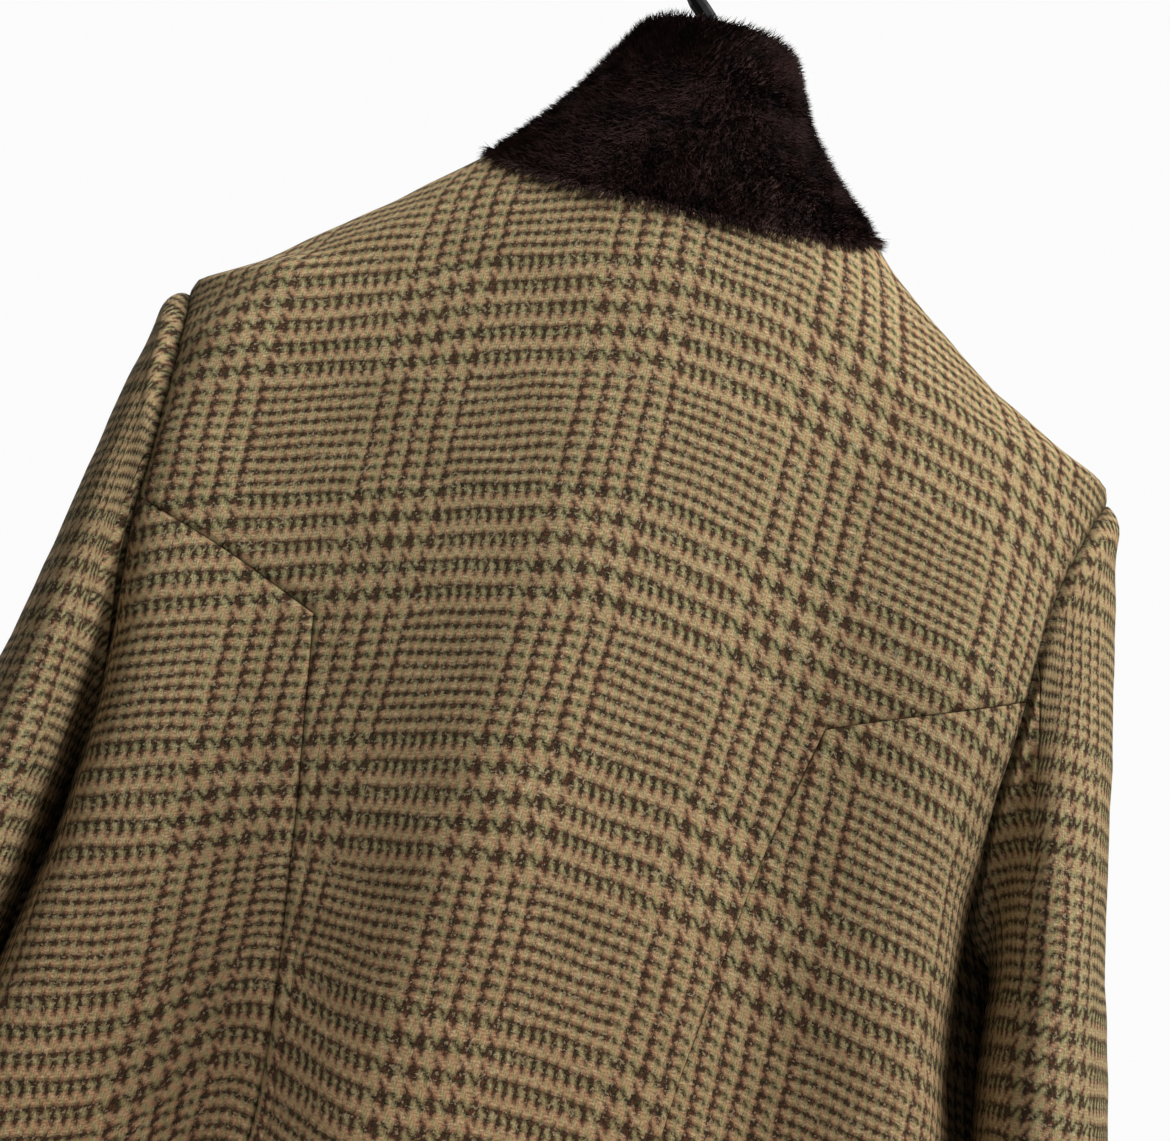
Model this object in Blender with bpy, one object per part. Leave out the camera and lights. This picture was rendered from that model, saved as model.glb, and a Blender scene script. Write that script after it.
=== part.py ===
"""A checked wool coat with a fur stand collar, hanging on a plain hanger.

Metres, +Z up. The coat's front faces -Y and the wearer's left is +X. The
origin is the inside top of the hanger's hook, where a rail carries it.

The body is a stack of rings. A place on it is (turn, drop): turn is 0 at the
centre back, 1 at the wearer's left side, 2 at the centre front and negative
on the wearer's right; drop is measured down from the back neck seam. Above
the shoulder tips the rings end on the shoulder line, so turn 1 is that line.
"""

import math

import bmesh
import bpy
import numpy as np

# Driving dimensions.
NECK_Z = -0.171
COAT_LENGTH = 0.930
WALL = 0.003
SEAM_GAP = 0.0003

# Neckline: the neck points stand above the back neck seam, the front falls below it.
NECK_HALF = 0.0925
NECK_RISE = 0.030
FRONT_NECK_DROP = 0.070

# Armholes, as seen from the side.
TIP_DROP = 0.069
TIP_HALF = 0.2235
UNDERARM_DROP = 0.275
ARMHOLE_BACK = 0.059
ARMHOLE_FRONT = 0.057

# Back seams: a slanted one from the armhole to a corner, then a princess seam down.
SLANT_START_DROP = 0.182
CORNER_DROP = 0.217
CENTRE_ROW_DROP = 0.219

# Front closure, wearer's right over left.
LAP = 0.020
TUCK = WALL + 0.0009
TUCK_NEAR = 0.030
TUCK_FAR = 0.075
BUTTON_RADIUS = 0.014
BUTTON_HEIGHT = 0.0055
BUTTON_STAND = 0.0007
BUTTON_DROPS = (0.125, 0.245, 0.365, 0.485)

# Fur stand collar.
COLLAR_END_GAP = 0.0025
COLLAR_TOP_HALF = 0.039
COLLAR_TOP_SHIFT = 0.005
COLLAR_TOP_RISE = 0.107
COLLAR_TOP_BACK_Y = 0.047
COLLAR_TOP_FRONT_Y = -0.087
COLLAR_FOOT = 0.012
COLLAR_BELLY = {"left": 0.022, "right": 0.010}

# Hanger.
HOOK_WIRE = 0.0045
HOOK_BEND = 0.021 + HOOK_WIRE
BAR_HALF_DEEP = 0.007
BAR_HALF_TALL = 0.009
BAR_CLEAR = 0.0008
SOCKET_RADIUS = 0.010
SOCKET_HEIGHT = 0.016

# Grid sizes: rows run down the coat, columns round it.
UPPER_ROWS = 9
ARMHOLE_ROWS = 12
BODY_ROWS = 29
CENTRE_COLUMNS = 6
BACK_COLUMNS = 11
NECK_COLUMNS = 4
FRONT_NECK_COLUMNS = 6
SLEEVE_ROWS = 20
SLEEVE_COLUMNS = 2 * ARMHOLE_ROWS
SLEEVE_BACK_SEAM = 8
SLEEVE_FRONT_SEAM = 16

RING_COLUMNS = ("drop", "half_width", "shift", "back", "front", "middle", "square")
RINGS = np.array([
    (-0.030, 0.0925, 0.0045, 0.061, 0.054, -0.003, 2.0),
    (-0.010, 0.1135, 0.0075, 0.065, 0.058, -0.004, 2.0),
    (0.012, 0.1405, 0.0070, 0.071, 0.065, -0.006, 2.0),
    (0.033, 0.1690, 0.0050, 0.077, 0.072, -0.009, 2.05),
    (0.052, 0.1970, 0.0010, 0.081, 0.078, -0.011, 2.1),
    (0.069, 0.2235, 0.0000, 0.083, 0.082, -0.012, 2.25),
    (0.110, 0.2245, 0.004, 0.087, 0.090, -0.012, 2.7),
    (0.180, 0.2200, 0.007, 0.090, 0.098, -0.012, 2.9),
    (0.240, 0.2070, 0.009, 0.090, 0.102, -0.012, 2.8),
    (0.275, 0.2020, 0.010, 0.090, 0.102, -0.012, 2.8),
    (0.320, 0.2040, 0.010, 0.090, 0.100, -0.012, 2.7),
    (0.390, 0.2140, 0.010, 0.091, 0.098, -0.011, 2.6),
    (0.520, 0.2280, 0.009, 0.097, 0.102, -0.009, 2.5),
    (0.700, 0.2440, 0.006, 0.108, 0.110, -0.006, 2.4),
    (0.930, 0.2650, 0.002, 0.120, 0.120, -0.004, 2.3),
])

# Soft folds. depth is out for a ridge and in for a trough; both ends are drops.
FOLD_COLUMNS = ("turn", "drift", "width", "depth", "start", "full")
FOLDS = (
    (-0.036, 0.27, 0.124, 0.013, 0.02, 0.20),
    (0.292, 0.09, 0.202, -0.013, -0.03, 0.20),
    (-0.211, -0.35, 0.100, -0.013, -0.03, 0.32),
    (-0.301, 0.35, 0.220, -0.013, 0.30, 0.42),
    (-0.432, -0.35, 0.119, 0.013, 0.05, 0.22),
    (0.347, 0.35, 0.220, -0.013, 0.30, 0.47),
    (0.038, 0.35, 0.220, 0.013, 0.13, 0.30),
    (0.523, 0.20, 0.092, 0.013, -0.03, 0.20),
    (0.780, 0.02, 0.090, 0.012, 0.36, 0.85),
    (-0.860, 0.00, 0.070, -0.010, 0.40, 0.85),
    (0.960, 0.00, 0.080, -0.010, 0.40, 0.85),
    (1.320, 0.00, 0.150, 0.036, 0.18, 0.33),
    (1.320, 0.00, 0.150, -0.020, 0.36, 0.90),
    (1.480, 0.03, 0.080, -0.012, 0.24, 0.75),
    (1.700, 0.02, 0.090, 0.008, 0.36, 0.90),
    (-1.320, 0.00, 0.165, 0.056, 0.17, 0.32),
    (-1.320, 0.00, 0.165, -0.038, 0.37, 0.90),
    (-1.530, -0.02, 0.080, -0.012, 0.26, 0.80),
    (-1.740, 0.00, 0.090, 0.008, 0.40, 0.90),
)

# Princess seams: how far from the centre back, going down.
PRINCESS = np.array([
    (0.217, 0.1135), (0.311, 0.0955), (0.423, 0.0825), (0.520, 0.0840), (0.700, 0.1000), (0.930, 0.1250),
])

# Sleeve sections below the armhole. out is from the coat's centre plane; twist swings the front edge out.
SLEEVE_COLUMNS_NAMED = ("drop", "out", "middle", "half_across", "half_deep", "twist")
SLEEVES = {
    "left": np.array([
        (0.300, 0.2430, -0.010, 0.0255, 0.0770, 10.0),
        (0.360, 0.2535, -0.014, 0.0285, 0.0750, 12.0),
        (0.450, 0.2675, -0.026, 0.0285, 0.0720, 13.0),
        (0.550, 0.2800, -0.043, 0.0275, 0.0690, 14.0),
        (0.655, 0.2900, -0.062, 0.0265, 0.0660, 14.0),
    ]),
    "right": np.array([
        (0.300, 0.2365, -0.010, 0.0265, 0.0770, 15.0),
        (0.360, 0.2455, -0.015, 0.0300, 0.0750, 17.0),
        (0.450, 0.2600, -0.028, 0.0305, 0.0720, 18.0),
        (0.550, 0.2735, -0.046, 0.0280, 0.0690, 20.0),
        (0.655, 0.2850, -0.066, 0.0265, 0.0660, 20.0),
    ]),
}
CAP_SWELL = {"left": 0.066, "right": 0.042}
CAP_HANG = {"left": 0.56, "right": 0.36}
CAP_STEPS = (0.05, 0.12, 0.22, 0.35, 0.50, 0.66, 0.82, 1.0)
SIDES = {"left": 1, "right": -1}

# Collar section: how far up the wall, and how far out of its middle, outer side first.
COLLAR_PROFILE = (
    (0.00, 0.0016), (0.09, 0.0030), (0.20, 0.0058), (0.36, 0.0078), (0.56, 0.0082), (0.76, 0.0080), (0.90, 0.0070),
    (0.975, 0.0042), (1.00, 0.0), (0.975, -0.0042), (0.88, -0.0066), (0.62, -0.0072), (0.36, -0.0066),
    (0.17, -0.0045), (0.07, -0.0022), (0.00, -0.0016),
)

# Hanger bar inside the neck: (out from the centre, up from the back neck seam), bar centre.
BAR_INNER = ((0.0, 0.0400), (0.022, 0.0372), (0.046, 0.0290), (0.070, 0.0180))
BAR_END = 0.192

COLOURS = {
    "wool": ((0.30, 0.24, 0.13, 1.0), 0.95, 0.0),
    "fur": ((0.035, 0.020, 0.016, 1.0), 0.85, 0.0),
    "button": ((0.07, 0.035, 0.018, 1.0), 0.45, 0.0),
    "hanger_black": ((0.015, 0.015, 0.016, 1.0), 0.35, 0.0),
}


def through(knots, values, at):
    """A smooth curve through a table's column, without overshoot."""
    at = np.clip(at, knots[0], knots[-1])
    steps = np.diff(knots)
    slopes = np.diff(values) / steps
    before, after = slopes[:-1], slopes[1:]
    same_way = before * after > 0
    total = np.where(same_way, before + after, 1.0)
    inner = np.where(same_way, 2 * before * after / total, 0.0)
    tangents = np.concatenate([slopes[:1], inner, slopes[-1:]])
    span = np.clip(np.searchsorted(knots, at, side="right") - 1, 0, len(steps) - 1)
    t = (at - knots[span]) / steps[span]
    rise = values[span + 1] - values[span]
    start = tangents[span] * steps[span]
    end = tangents[span + 1] * steps[span]
    return values[span] + t * start + t**2 * (3 * rise - 2 * start - end) + t**3 * (start + end - 2 * rise)


def ring_value(name, drop):
    return through(RINGS[:, 0], RINGS[:, RING_COLUMNS.index(name)], drop)


def smooth(t):
    t = np.clip(t, 0.0, 1.0)
    return t * t * (3 - 2 * t)


def unit(vectors):
    return vectors / np.maximum(np.linalg.norm(vectors, axis=-1, keepdims=True), 1e-12)


def ring_point(turn, drop):
    """A place on the body's plain rings."""
    angle = np.asarray(turn) * math.pi / 2
    across, along = np.sin(angle), np.cos(angle)
    square = ring_value("square", drop)
    reach = (np.abs(across) ** square + np.abs(along) ** square) ** (-1 / square)
    depth = np.where(along > 0, ring_value("back", drop), ring_value("front", drop))
    x = ring_value("shift", drop) + ring_value("half_width", drop) * reach * across
    y = ring_value("middle", drop) + depth * reach * along
    return np.stack([x, y, NECK_Z - np.asarray(drop)], axis=-1)


def normal_of(surface, turn, drop, step=1e-3):
    """The outward normal of a surface given by (turn, drop)."""
    low = np.maximum(drop - step, RINGS[0, 0])
    high = np.minimum(low + 2 * step, COAT_LENGTH)
    low = high - 2 * step
    round_way = surface(turn + step, drop) - surface(turn - step, drop)
    down_way = surface(turn, high) - surface(turn, low)
    return unit(np.cross(round_way, down_way))


def fold_height(turn, drop):
    height = np.zeros(np.broadcast(turn, drop).shape)
    for centre, drift, width, depth, start, full in FOLDS:
        away = (turn - centre - drift * (drop - start) + 2) % 4 - 2
        height = height + depth * smooth((drop - start) / (full - start)) * np.exp(-((away / width) ** 2))
    return height


def body_point(turn, drop):
    """A place on the body's cloth, with its folds."""
    turn, drop = np.asarray(turn, float), np.asarray(drop, float)
    return ring_point(turn, drop) + normal_of(ring_point, turn, drop) * fold_height(turn, drop)[..., None]


def turn_at_x(x, drop, front=False):
    """The turn of the place that lies x out from the ring's middle."""
    square = ring_value("square", drop)
    share = np.clip(x / ring_value("half_width", drop), -1.0, 1.0)
    angle = np.arctan2(share, (1 - np.abs(share) ** square) ** (1 / square)) * 2 / math.pi
    return 2 - angle if front else angle


def x_at_turn(turn, drop):
    return ring_point(turn, drop)[..., 0] - ring_value("shift", drop)


def armhole_place(angle):
    """(turn, drop) on the wearer's left armhole: angle 0 at the tip, pi/2 furthest back, pi under the arm."""
    drop = (TIP_DROP + UNDERARM_DROP) / 2 - (UNDERARM_DROP - TIP_DROP) / 2 * np.cos(angle)
    behind = np.sin(angle) >= 0
    depth = np.where(behind, ring_value("back", drop), ring_value("front", drop))
    swell = np.where(behind, ARMHOLE_BACK, ARMHOLE_FRONT)
    share = np.clip(np.abs(swell * np.sin(angle)) / depth, 0.0, 1.0)
    square = ring_value("square", drop)
    turn = np.arctan2((1 - share**square) ** (1 / square), share) * 2 / math.pi
    return np.where(behind, turn, 2 - turn), drop


def coons(top, bottom, left, right):
    """A grid of (rows, columns, 2) places between four edges that share their corners."""
    u = np.linspace(0, 1, len(top))[None, :, None]
    v = np.linspace(0, 1, len(left))[:, None, None]
    sides = (1 - u) * left[:, None] + u * right[:, None]
    ends = (1 - v) * top[None] + v * bottom[None]
    corners = (1 - u) * (1 - v) * top[0] + u * (1 - v) * top[-1]
    corners = corners + (1 - u) * v * bottom[0] + u * v * bottom[-1]
    return sides + ends - corners


def places(across, drop):
    return np.stack(np.broadcast_arrays(across, drop), axis=-1)


def shoulder_line():
    """x and drop along the shoulder seam, from the neck point to the tip."""
    x = np.linspace(NECK_HALF, TIP_HALF, BACK_COLUMNS - NECK_COLUMNS + 1)
    drops = np.linspace(-NECK_RISE, TIP_DROP, 400)
    return x, np.interp(x, ring_value("half_width", drops), drops)


def armhole_angles():
    """Loop angles of the armhole's rows: to the slanted seam, then on to the underarm."""
    middle, half = (TIP_DROP + UNDERARM_DROP) / 2, (UNDERARM_DROP - TIP_DROP) / 2
    slant = math.acos((middle - SLANT_START_DROP) / half)
    upper = np.linspace(0, slant, UPPER_ROWS + 1)
    lower = np.linspace(slant, math.pi, ARMHOLE_ROWS - UPPER_ROWS + 1)
    return np.concatenate([upper, lower[1:]])


def side_drops():
    return np.linspace(UNDERARM_DROP, COAT_LENGTH, BODY_ROWS - ARMHOLE_ROWS + 1)


def upper_shares():
    """How far down the upper rows lie: close together near the shoulder."""
    return np.linspace(0, 1, UPPER_ROWS + 1) ** 1.7


def spaced_rows(grid_edge_start, grid_edge_end):
    share = upper_shares()[:, None]
    return (1 - share) * grid_edge_start + share * grid_edge_end


def to_turns(grid, front=False):
    """Turns (x, drop) places into (turn, drop) places."""
    return places(turn_at_x(grid[..., 0], grid[..., 1], front), grid[..., 1])


def neck_curve_back():
    share = np.linspace(0, 1, NECK_COLUMNS + 1)
    return places(NECK_HALF * np.sin(share * math.pi / 2), -NECK_RISE * share**2.4)


def neck_curve_front(edge_x):
    """From the neck point down to the centre front, then level to the front edge."""
    share = np.linspace(0, 1, FRONT_NECK_COLUMNS) * math.pi / 2
    fall = -NECK_RISE + (FRONT_NECK_DROP + NECK_RISE) * np.sin(share) ** 1.7
    curve = places(NECK_HALF * np.cos(share), fall)
    return np.concatenate([curve, [[edge_x, FRONT_NECK_DROP]]])


def back_grid():
    """The whole back in (turn, drop), from the right side to the left."""
    shoulder = places(*shoulder_line())
    top = np.concatenate([neck_curve_back(), shoulder[1:]])
    angles = armhole_angles()
    arm_turn, arm_drop = armhole_place(angles)
    arm = places(x_at_turn(arm_turn, arm_drop), arm_drop)
    outer = np.linspace(0, 1, BACK_COLUMNS - CENTRE_COLUMNS + 1)[:, None]
    centre = np.linspace(0, 1, CENTRE_COLUMNS + 1)
    corner = np.array([PRINCESS[0, 1], CORNER_DROP])
    level = places(corner[0] * centre, CENTRE_ROW_DROP + (CORNER_DROP - CENTRE_ROW_DROP) * centre**3)
    slant = (1 - outer) * corner + outer * arm[UPPER_ROWS]
    row = np.concatenate([level, slant[1:]])
    upper = coons(top, row, spaced_rows(top[0], row[0]), arm[: UPPER_ROWS + 1])
    upper = to_turns(upper)

    lower_rows = BODY_ROWS - UPPER_ROWS
    centre_drops = np.linspace(CENTRE_ROW_DROP, COAT_LENGTH, lower_rows + 1)
    seam_drops = np.linspace(CORNER_DROP, COAT_LENGTH, lower_rows + 1)
    seam = places(turn_at_x(through(PRINCESS[:, 0], PRINCESS[:, 1], seam_drops), seam_drops), seam_drops)
    side = np.concatenate([
        places(arm_turn, arm_drop)[UPPER_ROWS:], places(1.0, side_drops()[1:]),
    ])
    start = upper[-1]
    hem_centre = places(seam[-1, 0] * centre, COAT_LENGTH)
    hem_side = places(seam[-1, 0] + (1 - seam[-1, 0]) * outer[:, 0], COAT_LENGTH)
    middle = coons(start[: CENTRE_COLUMNS + 1], hem_centre, places(0.0, centre_drops), seam)
    flank = coons(start[CENTRE_COLUMNS:], hem_side, seam, side)
    lower = np.concatenate([middle, flank[:, 1:]], axis=1)
    half = np.concatenate([upper, lower[1:]])
    mirrored = half[:, :0:-1] * (-1, 1)
    return np.concatenate([mirrored, half], axis=1)


def front_grid(edge_x):
    """The wearer's left front in (turn, drop), from the side to the front edge."""
    shoulder = places(*shoulder_line())[::-1]
    top = np.concatenate([shoulder[:-1], neck_curve_front(edge_x)])
    arm_turn, arm_drop = armhole_place(-armhole_angles())
    arm = places(x_at_turn(arm_turn, arm_drop), arm_drop)
    share = np.linspace(0, 1, len(top))[:, None]
    row = (1 - share) * arm[UPPER_ROWS] + share * np.array([edge_x, CENTRE_ROW_DROP])
    upper = coons(top, row, arm[: UPPER_ROWS + 1], spaced_rows(top[-1], row[-1]))
    upper = to_turns(upper, front=True)

    lower_rows = BODY_ROWS - UPPER_ROWS
    edge_drops = np.linspace(CENTRE_ROW_DROP, COAT_LENGTH, lower_rows + 1)
    edge = places(turn_at_x(np.full_like(edge_drops, edge_x), edge_drops, front=True), edge_drops)
    side = np.concatenate([
        places(arm_turn, arm_drop)[UPPER_ROWS:], places(1.0, side_drops()[1:]),
    ])
    hem = (1 - share) * side[-1] + share * edge[-1]
    lower = coons(upper[-1], hem, side, edge)
    return np.concatenate([upper, lower[1:]])


def tuck_depth(points):
    """How far in the under front lies, near the closing."""
    return TUCK * smooth((TUCK_FAR - points[..., 0]) / (TUCK_FAR - TUCK_NEAR))


def sleeve_grid(side, loop):
    """Points of one sleeve, armhole first. Columns run tip, back, underarm, front."""
    table = SLEEVES[side]
    out = SIDES[side]
    angle = np.linspace(0, 2 * math.pi, SLEEVE_COLUMNS, endpoint=False)

    def section(drop):
        values = {
            name: through(table[:, 0], table[:, k], np.array(drop))
            for k, name in enumerate(SLEEVE_COLUMNS_NAMED)
        }
        twist = math.radians(values["twist"])
        across = values["half_across"] * np.cos(angle)
        deep = values["half_deep"] * np.sin(angle)
        x = values["out"] + across * math.cos(twist) - deep * math.sin(twist)
        y = values["middle"] + across * math.sin(twist) + deep * math.cos(twist)
        return np.stack([out * x, y, np.full_like(x, NECK_Z - drop)], axis=-1)

    first = table[0, 0]
    end = section(first)
    run = unit(section(first + 0.02) - end)
    upward = np.cos(angle)
    leave = unit(np.stack([
        out * (0.35 + 0.65 * (1 + upward) / 2),
        0.25 * np.sin(angle),
        np.where(upward > 0, 0.22 * upward, 0.9 * upward),
    ], axis=-1))
    span = np.linalg.norm(end - loop, axis=-1, keepdims=True)
    near = loop + leave * span * CAP_SWELL[side]
    far = end - run * span * CAP_HANG[side]
    rows = [loop]
    for t in CAP_STEPS:
        rows.append((1 - t) ** 3 * loop + 3 * t * (1 - t) ** 2 * near + 3 * t**2 * (1 - t) * far + t**3 * end)
    for drop in np.linspace(first, table[-1, 0], SLEEVE_ROWS - len(CAP_STEPS) + 1)[1:]:
        rows.append(section(drop))
    return np.stack(rows)


def grid_normals(grid, closed, flip):
    """Outward normals of a grid of points."""
    if closed:
        round_way = np.roll(grid, -1, axis=1) - np.roll(grid, 1, axis=1)
    else:
        round_way = np.gradient(grid, axis=1)
    return unit(np.cross(round_way, np.gradient(grid, axis=0))) * flip


def material(name):
    found = bpy.data.materials.get(name)
    if found:
        return found
    colour, roughness, metallic = COLOURS[name]
    made = bpy.data.materials.new(name)
    made.use_nodes = True
    shader = made.node_tree.nodes["Principled BSDF"]
    shader.inputs["Base Color"].default_value = colour
    shader.inputs["Roughness"].default_value = roughness
    shader.inputs["Metallic"].default_value = metallic
    made.diffuse_color = colour
    return made


def add_object(name, vertices, faces, finish, sharp_degrees=40.0):
    mesh = bpy.data.meshes.new(name)
    mesh.from_pydata([tuple(map(float, point)) for point in vertices], [], faces)
    mesh.materials.append(material(finish))
    mesh.shade_smooth()
    mesh.set_sharp_from_angle(angle=math.radians(sharp_degrees))
    obj = bpy.data.objects.new(name, mesh)
    bpy.context.scene.collection.objects.link(obj)
    return obj


def rim_edges(cells):
    """The edges that only one cell has, in that cell's direction."""
    edges = {}
    for cell in cells:
        for a, b in zip(cell, cell[1:] + cell[:1]):
            edges[(a, b)] = True
    return [edge for edge in edges if edge[::-1] not in edges]


def rim_pull(points, outward, rim):
    """Moves each rim vertex half a seam's gap into its own piece."""
    inward = {}
    for a, b in rim:
        for vertex in (a, b):
            step = unit(np.cross(outward[vertex], points[b] - points[a]))
            inward.setdefault(vertex, []).append(step)
    pull = np.zeros_like(points)
    for vertex, steps in inward.items():
        total = np.sum(steps, axis=0)
        spread = max(float(total @ total) / 2, 0.5)
        pull[vertex] = total * SEAM_GAP / 2 / spread * (len(steps) / 2)
    return pull


def cloth_piece(name, points, outward, cells, finish):
    """One closed wall: the given outer skin, an inner skin a wall further in, and rims between."""
    used = sorted({vertex for cell in cells for vertex in cell})
    index = {vertex: k for k, vertex in enumerate(used)}
    cells = [tuple(index[vertex] for vertex in cell) for cell in cells]
    points, outward = points[used], outward[used]
    a, b, c = (points[[cell[k] for cell in cells]] for k in (0, 1, 3))
    middle = outward[[cell[0] for cell in cells]]
    if np.sum(np.cross(b - a, c - a) * middle) < 0:
        cells = [cell[::-1] for cell in cells]
    rim = rim_edges(cells)
    skin = points + rim_pull(points, outward, rim)
    lining = skin - outward * WALL
    count = len(points)
    faces = list(cells)
    faces += [tuple(vertex + count for vertex in cell[::-1]) for cell in cells]
    for a, b in rim:
        if tuple(np.round(points[a][::-1], 5)) > tuple(np.round(points[b][::-1], 5)):
            faces += [(b, a, b + count), (a, a + count, b + count)]
        else:
            faces += [(b, a, a + count), (b, a + count, b + count)]
    return add_object(name, np.concatenate([skin, lining]), faces, finish)


def grid_cells(rows, columns, width):
    return [
        (r * width + c, r * width + c + 1, (r + 1) * width + c + 1, (r + 1) * width + c)
        for r in rows
        for c in columns
    ]


def wrapped_cells(rows, columns, width):
    cells = []
    for r in rows:
        for c in columns:
            near, far = c % width, (c + 1) % width
            cells.append((r * width + near, r * width + far, (r + 1) * width + far, (r + 1) * width + near))
    return cells


def shared_normals(body, sleeve):
    """One direction for both walls that meet at an armhole."""
    return unit(body + sleeve)


def make_coat_cloth():
    back = back_grid()
    back_points = body_point(back[..., 0], back[..., 1])
    back_normals = normal_of(body_point, back[..., 0], back[..., 1])
    fronts = {}
    for side, out in SIDES.items():
        grid = front_grid(-LAP)
        turn, drop = grid[..., 0] * out, grid[..., 1]
        points = body_point(turn, drop)
        normals = normal_of(body_point, turn, drop)
        if side == "left":
            points = points - normals * tuck_depth(points)[..., None]
        fronts[side] = [points, normals]

    for side, out in SIDES.items():
        column = -1 if out > 0 else 0
        front_points, front_normals = fronts[side]
        loop = np.concatenate([back_points[: ARMHOLE_ROWS + 1, column], front_points[ARMHOLE_ROWS - 1:0:-1, 0]])
        body = np.concatenate([back_normals[: ARMHOLE_ROWS + 1, column], front_normals[ARMHOLE_ROWS - 1:0:-1, 0]])
        sleeve = sleeve_grid(side, loop)
        normals = grid_normals(sleeve, True, -out)
        joint = shared_normals(body, normals[0])
        normals[0] = joint
        back_normals[: ARMHOLE_ROWS + 1, column] = joint[: ARMHOLE_ROWS + 1]
        front_normals[: ARMHOLE_ROWS + 1, 0] = np.concatenate([joint[:1], joint[: ARMHOLE_ROWS - 1: -1]])
        rows = range(SLEEVE_ROWS)
        top = wrapped_cells(rows, range(SLEEVE_FRONT_SEAM, SLEEVE_COLUMNS + SLEEVE_BACK_SEAM), SLEEVE_COLUMNS)
        under = wrapped_cells(rows, range(SLEEVE_BACK_SEAM, SLEEVE_FRONT_SEAM), SLEEVE_COLUMNS)
        points, normals = sleeve.reshape(-1, 3), normals.reshape(-1, 3)
        cloth_piece(f"top_sleeve_{side}", points, normals, top, "wool")
        cloth_piece(f"under_sleeve_{side}", points, normals, under, "wool")

    width = 2 * BACK_COLUMNS + 1
    points, normals = back_points.reshape(-1, 3), back_normals.reshape(-1, 3)
    inner = range(BACK_COLUMNS - CENTRE_COLUMNS, BACK_COLUMNS + CENTRE_COLUMNS)
    upper = grid_cells(range(UPPER_ROWS), range(2 * BACK_COLUMNS), width)
    lower = range(UPPER_ROWS, BODY_ROWS)
    cloth_piece("back_panel", points, normals, upper + grid_cells(lower, inner, width), "wool")
    right_side = range(BACK_COLUMNS - CENTRE_COLUMNS)
    left_side = range(BACK_COLUMNS + CENTRE_COLUMNS, 2 * BACK_COLUMNS)
    cloth_piece("side_back_right", points, normals, grid_cells(lower, right_side, width), "wool")
    cloth_piece("side_back_left", points, normals, grid_cells(lower, left_side, width), "wool")
    for side, (points, normals) in fronts.items():
        width = points.shape[1]
        cells = grid_cells(range(BODY_ROWS), range(width - 1), width)
        cloth_piece(f"front_{side}", points.reshape(-1, 3), normals.reshape(-1, 3), cells, "wool")


def neckline(side):
    """Half of the cloth's neck edge, from the centre back, with a place between each two corners."""
    back, front = neck_curve_back(), neck_curve_front(0.0)[1:-1]
    turns = np.concatenate([turn_at_x(back[:, 0], back[:, 1]), turn_at_x(front[:, 0], front[:, 1], front=True)])
    turns = turns * SIDES[side]
    drops = np.concatenate([back[:, 1], front[:, 1]])
    points, normals = body_point(turns, drops), normal_of(body_point, turns, drops)
    if side == "left":
        points = points - normals * tuck_depth(points)[..., None]

    def between(rows):
        full = np.repeat(rows, 2, axis=0)[:-1]
        full[1::2] = (rows[1:] + rows[:-1]) / 2
        return full

    points, normals = between(points), unit(between(normals))
    points[-1] += (points[-2] - points[-1]) * COLLAR_END_GAP / 2 / abs(points[-2, 0] - points[-1, 0])
    return points, normals


def collar_top(share):
    """The collar's upper edge: a narrow oval that falls to the front, which is at -1 and 1."""
    side, share = np.sign(share), np.abs(share)
    angle = share * math.pi
    x = COLLAR_TOP_SHIFT + side * COLLAR_TOP_HALF * np.abs(np.sin(angle)) ** 0.9
    middle = (COLLAR_TOP_BACK_Y + COLLAR_TOP_FRONT_Y) / 2
    y = middle + (COLLAR_TOP_BACK_Y - COLLAR_TOP_FRONT_Y) / 2 * np.cos(angle)
    z = NECK_Z + COLLAR_TOP_RISE + 0.010 * np.sin(angle) ** 2 - 0.075 * smooth((share - 0.35) / 0.65)
    return np.stack([x, y, z], axis=-1)


def make_collar():
    """A thick wall that leaves the neckline along the cloth and then turns up."""
    left, left_out = neckline("left")
    right, right_out = neckline("right")
    edge = np.concatenate([right[:0:-1], left])
    cloth = np.concatenate([right_out[:0:-1], left_out])
    leave = unit(np.cross(cloth, np.gradient(edge, axis=0)))
    leave = leave * np.sign(leave[:, 2:])
    leave[[0, -1], 0] = 0
    leave = unit(leave)
    base = edge - cloth * WALL / 2 + leave * SEAM_GAP
    share = np.linspace(-1, 1, len(edge))
    top = collar_top(share)
    top[[0, -1], 0] += (-COLLAR_END_GAP / 2, COLLAR_END_GAP / 2)
    height = np.linalg.norm(top - base, axis=-1, keepdims=True)
    points = np.stack([base, base + leave * COLLAR_FOOT, top - np.array([0, 0, 0.45]) * height, top])
    belly = np.where(share > 0, COLLAR_BELLY["left"], -COLLAR_BELLY["right"])
    points[2, :, 0] += belly * np.sin(np.abs(share) * math.pi)
    levels, outs = (np.array(column)[:, None, None] for column in zip(*COLLAR_PROFILE))

    def curve(t):
        near, far = 3 * t * (1 - t) ** 2, 3 * t**2 * (1 - t)
        return (1 - t) ** 3 * points[0] + near * points[1] + far * points[2] + t**3 * points[3]

    middle = curve(levels)
    rise = curve(np.minimum(levels + 0.01, 1.0)) - curve(np.minimum(levels + 0.01, 1.0) - 0.02)
    out = unit(np.cross(np.gradient(middle, axis=1), rise))
    out[0] = out[-1] = cloth
    out[:, [0, -1], 0] = 0
    out = unit(out)
    wall = middle + out * outs
    rows, columns = wall.shape[:2]
    faces = []
    for r in range(rows):
        below = (r + 1) % rows
        for c in range(columns - 1):
            faces.append((r * columns + c, r * columns + c + 1, below * columns + c + 1, below * columns + c))
    faces.append(tuple(r * columns for r in range(rows)))
    faces.append(tuple(r * columns + columns - 1 for r in reversed(range(rows))))
    recalculate(add_object("collar", wall.reshape(-1, 3), faces, "fur", 60.0))


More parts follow.
